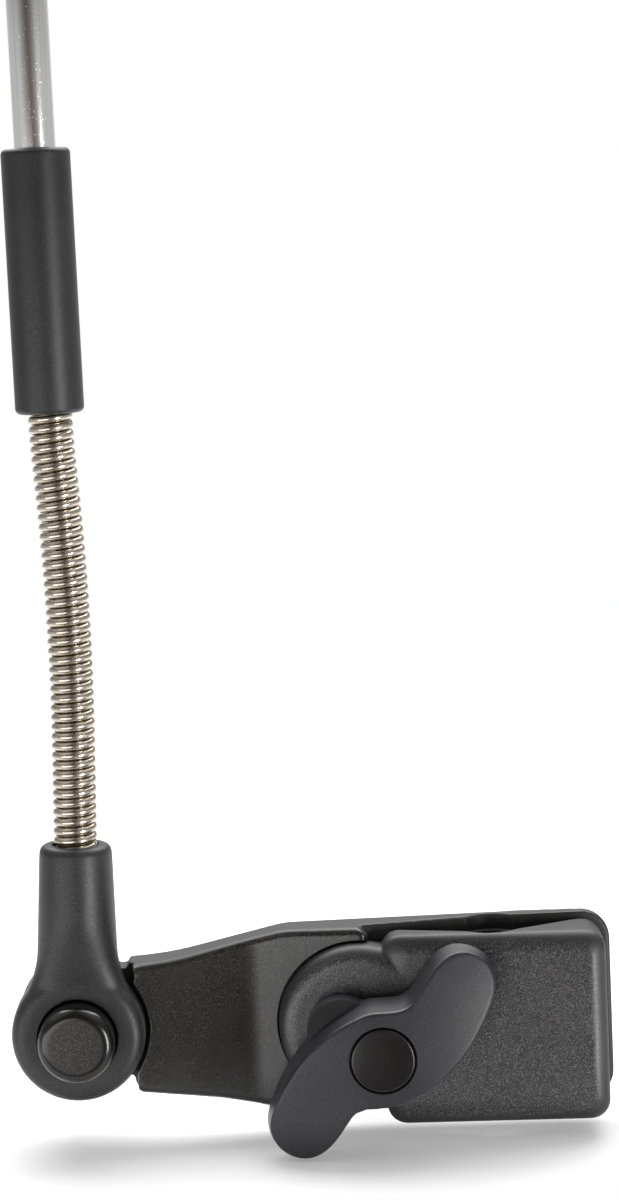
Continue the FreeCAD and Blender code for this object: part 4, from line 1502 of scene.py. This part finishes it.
    def shroud(self) -> bpy.types.Object:
        """Cup over the end of the screw.

        Returns:
            The cup.
        """
        inside = self.shroud_end - self.shroud_roof
        profile = rounded_loop([
            (self.shroud_bore_r, self.boss_back, 0), (self.boss_r, self.boss_back, self.shroud_lip),
            (self.boss_r, self.shroud_end, self.shroud_edge), (0, self.shroud_end, 0), (0, inside, 0),
            (self.shroud_bore_r, inside, 0)])
        return Bench.smooth(Bench.turned("screw_cup", profile, along_y(SCREW)))

    def build(self) -> None:
        """Make the pieces."""
        settle(self.arm(), CLAMP, ["clamp"], ["clamp_arm"])
        settle(self.cover(), CAP, ["clamp"], ["hub_cover"])
        settle(self.shroud(), CLAMP, ["clamp"], ["screw_shroud"])


@dataclass
class FrontJaw:
    """Moving jaw: a domed round end and a pillow-shaped plate."""

    left: float = -27.2 * MM
    right: float = 27.5 * MM
    top: float = 22.5 * MM
    bottom: float = -24.9 * MM
    face: float = -9.5 * MM
    inner: float = 0.9 * MM
    behind: float = 10.0 * MM
    corner_r: float = 4.8 * MM
    corner_least: float = 1.0 * MM
    corner_loss: float = 0.5  # of the corner's radius, for each unit drawn in
    border: float = 6.0 * MM
    border_steps: int = 12
    rise: float = 3.0 * MM
    crown: Crown = Crown()
    end_r: float = 20.1 * MM
    end_dome: float = 4.0 * MM
    flank_in: float = 1.4 * MM
    tip: Point2 = (21.0 * MM, 3.5 * MM)
    groove: Groove = Groove()
    screw_room_r: float = 3.3 * MM
    spring_room_r: float = 6.4 * MM
    melt: Softness = (0.42 * MM, 9)

    def inset(self, gap: float, depth: float) -> list[Vector]:
        """The plate's outline drawn in.

        Args:
            gap: by how much.
            depth: where the outline lies along Y.

        Returns:
            The outline.
        """
        radius = max(self.corner_r - self.corner_loss * gap, self.corner_least)
        left, right, top, bottom = self.left + gap, self.right - gap, self.top - gap, self.bottom + gap
        outline = rounded_loop([
            (left, top, radius), (right, top, radius), (right, bottom, radius),
            (left, bottom, radius)], steps=10)
        return [Vector((x, depth, z)) for x, z in outline]

    def blank(self) -> bpy.types.Object:
        """Plate and round end joined, with a crowned front and a plain back.

        Returns:
            The closed blank.
        """
        rings = [self.inset(0.0, self.behind)]
        for angle in quarter(self.border_steps):
            gap = self.border * (1 - math.cos(angle))
            rings.append(self.inset(gap, self.face + self.rise * (1 - math.sin(angle))))
        obj = Bench.lofted("front_jaw_body", rings)
        profile = rounded_loop([
            (0, self.face, 0), (self.end_r, self.face, self.end_dome), (self.end_r, self.behind, 0),
            (0, self.behind, 0)], steps=10)
        end = Bench.turned("end", profile, along_y(POCKET), Sides.FINE)
        Bench.shape(obj, end, Cut.JOIN)
        for vertex in obj.data.vertices:
            share = max(0.0, min(1.0, vertex.co.y / self.face))
            vertex.co.y += self.crown.rise(vertex.co.x) * share
        return obj

    def jaw(self) -> bpy.types.Object:
        """The blank grooved behind, bored and melted.

        Returns:
            The jaw.
        """
        obj = self.blank()
        past = 2 * self.end_r
        wall = [(x, -y) for x, y in reversed(self.groove.wall())]
        plan = [
            (past, self.tip[1]), self.tip, *wall, (self.left + self.flank_in, self.inner),
            (POCKET.x - past, self.inner), (POCKET.x - past, past), (past, past)]
        Bench.shape(obj, Bench.slab("tool", plan, Plane.PLAN, -past, past))
        Bench.drill(obj, SCREW, self.screw_room_r, self.face - self.border, self.behind, Sides.SCREW)
        Bench.drill(obj, SCREW, self.spring_room_r, self.face / 2, self.behind, Sides.SPRING)
        Bench.soften(obj, *self.melt)
        return Bench.smooth(obj, Shading.MELTED)

    def build(self) -> None:
        """Make the jaw."""
        settle(self.jaw(), JAW_PAINTED_LIGHTER, ["jaw"], ["front_jaw"])


@dataclass
class WingKnob:
    """S-shaped wing knob with its cap; half of the S is given in millimetres from the screw."""

    half: tuple[Point2, ...] = (
        (9.0, -9.7), (13.4, -6.9), (18.0, -2.9), (21.8, 1.5), (25.3, 7.3), (27.6, 12.3), (28.4, 15.4),
        (28.2, 18.4), (26.9, 21.5), (24.6, 23.8), (21.8, 25.1), (18.9, 25.3), (16.2, 24.5), (13.4, 22.5),
        (10.9, 19.6), (8.6, 16.2), (6.9, 13.9), (4.6, 12.7), (1.2, 12.4), (-3.4, 12.1))
    flat_r: float = 24.0 * MM
    tip_r: float = 34.5 * MM
    tip_lift: float = 4.4 * MM
    draft: float = 0.7 * MM
    front: float = -27.3 * MM
    back: float = -10.3 * MM
    front_edge: float = 0.8 * MM
    front_steps: int = 6
    back_edge: float = 1.8 * MM
    back_steps: int = 5
    melt: Softness = (0.28 * MM, 1)
    collar_h: float = 2.0 * MM
    collar_r: float = 8.5 * MM
    collar_reach: Point2 = (-9.5 * MM, 4.3 * MM)
    collar_tail: float = -0.4  # the collar's other end, as a share of collar_reach
    collar_root: float = 4.0 * MM
    collar_edge: float = 0.5 * MM
    cap_r: float = 7.7 * MM
    cap_gap: float = 0.4 * MM
    cap_h: float = 2.6 * MM
    cap_edge: float = 0.55 * MM
    bore_r: float = 3.0 * MM
    head_room_r: float = 5.8 * MM
    head_room: float = 4.0 * MM
    past: float = 1.0 * MM

    def outline(self, steps: int = 4) -> list[Point2]:
        """The S outline: a smooth closed curve through the half outline and its half turn.

        Args:
            steps: segments between two given points.

        Returns:
            The outline in the front plane.
        """
        knots = [Vector(p) * MM for p in self.half]
        knots += [-k for k in knots]
        count = len(knots)
        points = []
        for i in range(count):
            a, b, c, d = (knots[(i + k) % count] for k in (-1, 0, 1, 2))
            for step in range(steps):
                t = step / steps
                point = 0.5 * (2 * b + (c - a) * t + (2 * a - 5 * b + 4 * c - d) * t * t
                               + (3 * b - a - 3 * c + d) * t ** 3)
                points.append((SCREW.x + point.x, SCREW.z + point.y))
        return points

    def ring(self, gap: float, depth: float) -> list[Vector]:
        """The S outline moved outwards.

        Args:
            gap: by how much.
            depth: where the ring lies along Y.

        Returns:
            The ring.
        """
        points = self.outline()
        moved = []
        for i, (x, z) in enumerate(points):
            before, after = points[i - 1], points[(i + 1) % len(points)]
            run = Vector((after[0] - before[0], after[1] - before[1])).normalized()
            moved.append(Vector((x + run.y * gap, depth, z - run.x * gap)))
        return moved

    def wings(self, wing_back: float) -> bpy.types.Object:
        """Both wings, still flat: a rounded front rim, drafted walls and a rounded back rim.

        Args:
            wing_back: where their back is.

        Returns:
            The closed wings.
        """
        rings = []
        for angle in quarter(self.front_steps):
            rings.append(self.ring(-self.draft - self.front_edge * (1 - math.sin(angle)),
                                   self.front + self.front_edge * (1 - math.cos(angle))))
        for angle in quarter(self.back_steps):
            rings.append(self.ring(-self.back_edge * (1 - math.cos(angle)),
                                   wing_back - self.back_edge * (1 - math.sin(angle))))
        return Bench.lofted("wing_knob_body", rings)

    def dome(self, obj: bpy.types.Object, wing_back: float) -> None:
        """Curve the flat wings: their front is a shallow dome and their tips get thinner from behind.

        Args:
            obj: the flat wings.
            wing_back: where their back is.
        """
        for vertex in obj.data.vertices:
            reach = math.hypot(vertex.co.x - SCREW.x, vertex.co.z - SCREW.z)
            front = self.front + reach * reach / (2 * KNOB_DOME_R)
            past = max(0.0, (reach - self.flat_r) / (self.tip_r - self.flat_r))
            back = wing_back - self.tip_lift * past * past
            share = (vertex.co.y - self.front) / (wing_back - self.front)
            vertex.co.y = front + (back - front) * share

    def collar(self, wing_back: float) -> bpy.types.Object:
        """The oval collar behind the wings.

        Args:
            wing_back: where the wings' back is.

        Returns:
            The closed collar with a rounded back rim.
        """
        across, up = self.collar_reach
        turn = math.degrees(math.atan2(up, across))
        head, tail = ((SCREW.x + across * s, SCREW.z + up * s) for s in (1, self.collar_tail))
        outline = [*arc(head, self.collar_r, turn - 90, turn + 90),
                   *arc(tail, self.collar_r, turn + 90, turn + 270)]
        obj = Bench.slab("collar", outline, Plane.FRONT, wing_back - self.collar_root, self.back)
        Bench.bevel(obj, lambda a, b: min(a.y, b.y) > self.back - TINY, self.collar_edge, segments=3)
        return obj

    def knob(self) -> bpy.types.Object:
        """Wings, collar and recess.

        Returns:
            The knob.
        """
        wing_back = self.back - self.collar_h
        obj = self.wings(wing_back)
        Bench.soften(obj, *self.melt)
        self.dome(obj, wing_back)
        Bench.shape(obj, self.collar(wing_back), Cut.JOIN)
        room = self.cap_r + self.cap_gap
        mouth = room + self.cap_edge
        floor = self.front + self.cap_h
        ahead = self.front - self.past
        recess = [(0, ahead), (mouth, ahead), (mouth, self.front), (room, self.front + self.cap_edge),
                  (room, floor), (0, floor)]
        Bench.shape(obj, Bench.turned("recess", recess, along_y(SCREW), Sides.FINE))
        Bench.drill(obj, SCREW, self.head_room_r, ahead, floor + self.head_room, Sides.SPRING)
        Bench.drill(obj, SCREW, self.bore_r, ahead - self.past, self.back + self.past, Sides.SCREW)
        return Bench.smooth(Bench.close(obj), Shading.CRISP)

    def cap(self) -> bpy.types.Object:
        """Smooth round cap with a fine rounded rim.

        Returns:
            The cap.
        """
        floor = self.front + self.cap_h
        profile = rounded_loop([
            (0, self.front, 0), (self.cap_r, self.front, self.cap_edge), (self.cap_r, floor, 0),
            (0, floor, 0)], steps=6)
        return Bench.smooth(Bench.turned("cap_disc", profile, along_y(SCREW), Sides.FINE))

    def build(self) -> None:
        """Make both pieces."""
        settle(self.knob(), KNOB, ["knob"], ["wing_knob"])
        settle(self.cap(), CAP, ["knob"], ["knob_cap"])


@dataclass
class JawPads:
    """Soft linings of the two grooves, from one plan for both sides."""

    groove: Groove = Groove()
    wing: float = 9.0 * MM
    half_height: float = 20.0 * MM
    edge: float = 0.4 * MM
    back_flanks: tuple[Point2, Point2] = ((-30.3 * MM, 1.7 * MM), (21.0 * MM, 4.3 * MM))
    front_flanks: tuple[Point2, Point2] = ((-24.6 * MM, 0.9 * MM), (21.0 * MM, 3.5 * MM))

    def on_end_rim(self, a: Vector, b: Vector) -> bool:
        """True for an edge, given by its ends, round the top or the bottom."""
        return min(abs(a.z), abs(b.z)) > self.half_height - TINY and a.z * b.z > 0

    def pad(self, name: str, side: int, flanks: tuple[Point2, Point2]) -> bpy.types.Object:
        """One lining.

        Args:
            name: its name.
            side: -1 in front of the tube, 1 behind it.
            flanks: left and right points that its wings run towards.

        Returns:
            The closed, rounded lining.
        """
        outer = [(x, y * side) for x, y in self.groove.wall()]
        inner = [(x, y * side) for x, y in reversed(self.groove.lined())]
        wings = []
        for start, flank in ((outer[0], flanks[0]), (outer[-1], flanks[1])):
            run = (Vector(flank) - Vector(start)).normalized()
            lift = Vector((-run.y, run.x))
            lift *= -side * math.copysign(1, lift.y) * self.groove.lining
            end = Vector(start) + run * self.wing
            wings.append((tuple(end), tuple(end + lift), tuple(Vector(start) + lift)))
        plan = [*outer, *wings[1], *inner, *reversed(wings[0])]
        obj = Bench.slab(name, plan, Plane.PLAN, -self.half_height, self.half_height)
        Bench.bevel(obj, self.on_end_rim, self.edge, segments=4)
        return Bench.smooth(obj)

    def build(self) -> None:
        """Make both linings."""
        for name, side, flanks, body in (("back_lining", 1, self.back_flanks, "clamp"),
                                         ("front_lining", -1, self.front_flanks, "jaw")):
            obj = settle(self.pad(name, side, flanks), RUBBER, [body], [name.replace("lining", "pad")])


@dataclass
class HiddenSprings:
    """Springs behind the jaw and behind the lock gear; each lies between two bodies."""

    jaw_r: float = 5.2 * MM
    jaw_wire: float = 0.9 * MM
    jaw_turns: int = 5
    lock_r: float = 6.0 * MM
    lock_wire: float = 0.8 * MM
    lock_turns: int = 4

    def spring(self, name: str, node: str, centre: Vector, mean_r: float, wire: float, turns: int,
               mover: str) -> None:
        """One spring in its node's place.

        Args:
            name: the piece's name.
            node: the node that it stands for.
            centre: a point of its axis.
            mean_r: radius of the wire's middle.
            wire: the wire's diameter.
            turns: its turns.
            mover: the body at its front end; not used.
        """
        low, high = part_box(node)
        front, back = low.y + wire / 2, high.y - wire / 2
        obj = Bench.wound(name, mean_r, wire, turns, back - front, steps=36, sides=12)
        obj.data.transform(Matrix.Translation((centre.x, front, centre.z)) @ ALONG_Y)
        ends = (Vector((centre.x, back, centre.z)), Vector((centre.x, front, centre.z)))
        settle(Bench.smooth(obj, Shading.WIRE), SPRING, ["clamp", mover], [node], ends)

    def build(self) -> None:
        """Make both springs."""
        self.spring("jaw_coil", "jaw_spring", SCREW, self.jaw_r, self.jaw_wire, self.jaw_turns, "jaw")
        self.spring("lock_coil", "lock_spring", PIVOT, self.lock_r, self.lock_wire, self.lock_turns, "gear")


@dataclass
class PhotoCamera:
    """The photograph's pinhole camera; focal and long_side are in pixels."""

    spot: Vector = field(default_factory=lambda: Vector((-41.0, -772.12, 199.95)) * MM)
    pitch: float = math.radians(7.0)
    roll: float = math.radians(2.5)
    focal: float = 3195.0
    long_side: float = 1200.0
    sensor: float = 36.0
    near: float = 0.01

    def build(self) -> None:
        """Add the camera and make it the scene's."""
        data = bpy.data.cameras.new("photo_camera")
        data.sensor_width = self.sensor
        data.lens = self.focal / self.long_side * self.sensor
        data.clip_start = self.near
        camera = bpy.data.objects.new("photo_camera", data)
        bpy.context.scene.collection.objects.link(camera)
        ahead = Vector((0, math.cos(self.pitch), -math.sin(self.pitch)))
        right = Vector((math.cos(self.roll), -math.sin(self.roll) * math.sin(self.pitch),
                        -math.sin(self.roll) * math.cos(self.pitch)))
        up = right.cross(ahead)
        turn = Matrix((right, up, -ahead)).transposed().to_4x4()
        camera.matrix_world = Matrix.Translation(self.spot) @ turn
        bpy.context.scene.camera = camera


@dataclass(frozen=True)
class SoftBox:
    """An upright area lamp: where it stands round the object, how large it is and how bright."""

    name: str
    azimuth: float
    middle: float
    size: Point2
    glow: float
    distance: float = 1.0


@dataclass
class Studio:
    """White surroundings with a darker front, two upright soft boxes, an overhead one and a pale floor.

    The bands of the surroundings are heights of a direction, from 0 at the horizon to 1 overhead.
    """

    surround: float = 0.60
    front_dark: Colour = (0.16, 0.125, 0.112)
    front_side: float = math.radians(-3.0)
    front_half: float = math.radians(62.0)
    sky: float = 0.80
    sky_band: Point2 = (0.45, 0.70)
    dim: float = 0.5
    dim_band: Point2 = (0.08, 0.25)
    back_half: float = math.radians(35.0)
    back_soft: float = 0.3
    back_band: Point2 = (0.06, 0.16)
    floor_gap: float = 0.2 * MM
    floor_front: float = -0.05
    floor_size: float = 0.95
    floor_white: Colour = (0.86, 0.86, 0.86)
    floor_sheen: float = 0.2
    floor_rough: float = 0.26
    floor_lift: float = 0.26
    boxes: tuple[SoftBox, ...] = (
        SoftBox("left_box", -36.0, -0.14, (1.10, 0.50), 2.7),
        SoftBox("right_box", 43.0, -0.14, (0.22, 0.54), 19.0))
    top_spot: Vector = field(default_factory=lambda: Vector((0.0, 0.60, 1.05)))
    top_size: Point2 = (1.5, 1.1)
    top_glow: float = 4.6
    aim: Vector = field(default_factory=lambda: Vector((-0.06, 0.0, 0.05)))

    def add_box(self, box: SoftBox) -> None:
        """Add an upright area lamp that faces the object.

        Args:
            box: the lamp.
        """
        a = math.radians(box.azimuth)
        spot = Vector((self.aim.x + math.sin(a) * box.distance, -math.cos(a) * box.distance, box.middle))
        self.lamp(box.name, spot, Vector((self.aim.x, self.aim.y, box.middle)), box.size, box.glow)

    def lamp(self, name: str, spot: Vector, aim: Vector, size: Point2, glow: float) -> None:
        """Add an area lamp.

        Args:
            name: its name.
            spot: where it is.
            aim: where it looks.
            size: its width and height.
            glow: its radiance.
        """
        data = bpy.data.lights.new(name, "AREA")
        data.shape = "RECTANGLE"
        data.size, data.size_y = size
        data.energy = glow * math.pi * size[0] * size[1]
        lamp = bpy.data.objects.new(name, data)
        bpy.context.scene.collection.objects.link(lamp)
        lamp.location = spot
        lamp.rotation_euler = (aim - spot).to_track_quat("-Z", "Y").to_euler()

    def world(self) -> None:
        """White to the camera and, straight behind, to mirrors; elsewhere pale, with a dark front."""
        world = bpy.data.worlds.new("surroundings")
        world.use_nodes = True
        bpy.context.scene.world = world
        tree = ShaderTree(world.node_tree)
        across, ahead, height = tree.axes("Generated")
        side = tree.math("ARCTAN2", across, ahead * -1.0)
        pale = abs(side - self.front_side).ramp(0.0, self.front_half)
        around = tree.mix(pale, self.front_dark, (self.surround,) * 3)
        dimmed = tree.mix(height.ramp(*self.dim_band) * self.dim, around, (0.0, 0.0, 0.0))
        colour = tree.mix(height.ramp(*self.sky_band) * pale, dimmed, (self.sky,) * 3)
        path = tree.node("ShaderNodeLightPath")
        camera, glossy, clear = (Value(tree, path.outputs[f"Is {kind} Ray"])
                                 for kind in ("Camera", "Glossy", "Transmission"))
        behind = abs(side).ramp(math.pi - self.back_half * (1 + self.back_soft),
                                math.pi - self.back_half * (1 - self.back_soft))
        white = (glossy + clear) * behind * (1.0 - height.ramp(*self.back_band)) + camera
        final = tree.mix(white.held(), colour, (1.0, 1.0, 1.0))
        shader = tree.node("ShaderNodeBackground", None, {"Color": final, "Strength": 1.0})
        tree.node("ShaderNodeOutputWorld", None, {"Surface": shader.outputs[0]})

    def floor(self, level: float) -> None:
        """A pale floor with a soft mirror sheen, whitened to camera and mirror rays.

        Args:
            level: its height.
        """
        Bench.begin()
        middle = (self.aim.x, self.floor_size / 2 + self.floor_front, level)
        bpy.ops.mesh.primitive_plane_add(size=self.floor_size, location=middle)
        plane = bpy.context.object
        plane.name = "pale_floor"
        material = bpy.data.materials.new("floor_white")
        material.use_nodes = True
        tree = ShaderTree(material.node_tree)
        path = tree.node("ShaderNodeLightPath")
        seen = Value(tree, path.outputs["Is Camera Ray"]) + Value(tree, path.outputs["Is Glossy Ray"])
        matt = tree.node("ShaderNodeBsdfDiffuse", None, {"Color": (*self.floor_white, 1.0)})
        sheen = tree.node("ShaderNodeBsdfGlossy", None,
                          {"Color": (1.0, 1.0, 1.0, 1.0), "Roughness": self.floor_rough})
        both = tree.node("ShaderNodeMixShader", None,
                         {0: self.floor_sheen, 1: matt.outputs[0], 2: sheen.outputs[0]})
        lift = tree.node("ShaderNodeEmission", None, {"Strength": seen.held() * self.floor_lift})
        total = tree.node("ShaderNodeAddShader", None, {0: both.outputs[0], 1: lift.outputs[0]})
        tree.node("ShaderNodeOutputMaterial", None, {"Surface": total.outputs[0]})
        plane.data.materials.append(material)
        plane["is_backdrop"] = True

    def build(self, level: float) -> None:
        """Set the colour transform, the surroundings, the floor and the lamps.

        Args:
            level: height of the object's lowest point.
        """
        bpy.context.scene.view_settings.view_transform = "Standard"
        self.world()
        self.floor(level - self.floor_gap)
        for box in self.boxes:
            self.add_box(box)
        self.lamp("top_box", self.top_spot, self.aim, self.top_size, self.top_glow)


def main() -> None:
    """Build the camera, every piece and the studio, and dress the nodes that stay."""
    logging.basicConfig(level=logging.INFO, format="%(message)s")
    PhotoCamera().build()
    line = NeckLine()
    for assembly in (Gooseneck(line), StickEnd(line), TiltJoint(line), ClampBody(), FrontJaw(), WingKnob(),
                     JawPads(), HiddenSprings()):
        assembly.build()
    for node in ZINC_NODES:
        keep_shape(node, ZINC)
    keep_shape("lock_gear", ACETAL)
    visual_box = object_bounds()
    Studio().build(visual_box[0].z)


if __name__ == "__main__":
    main()
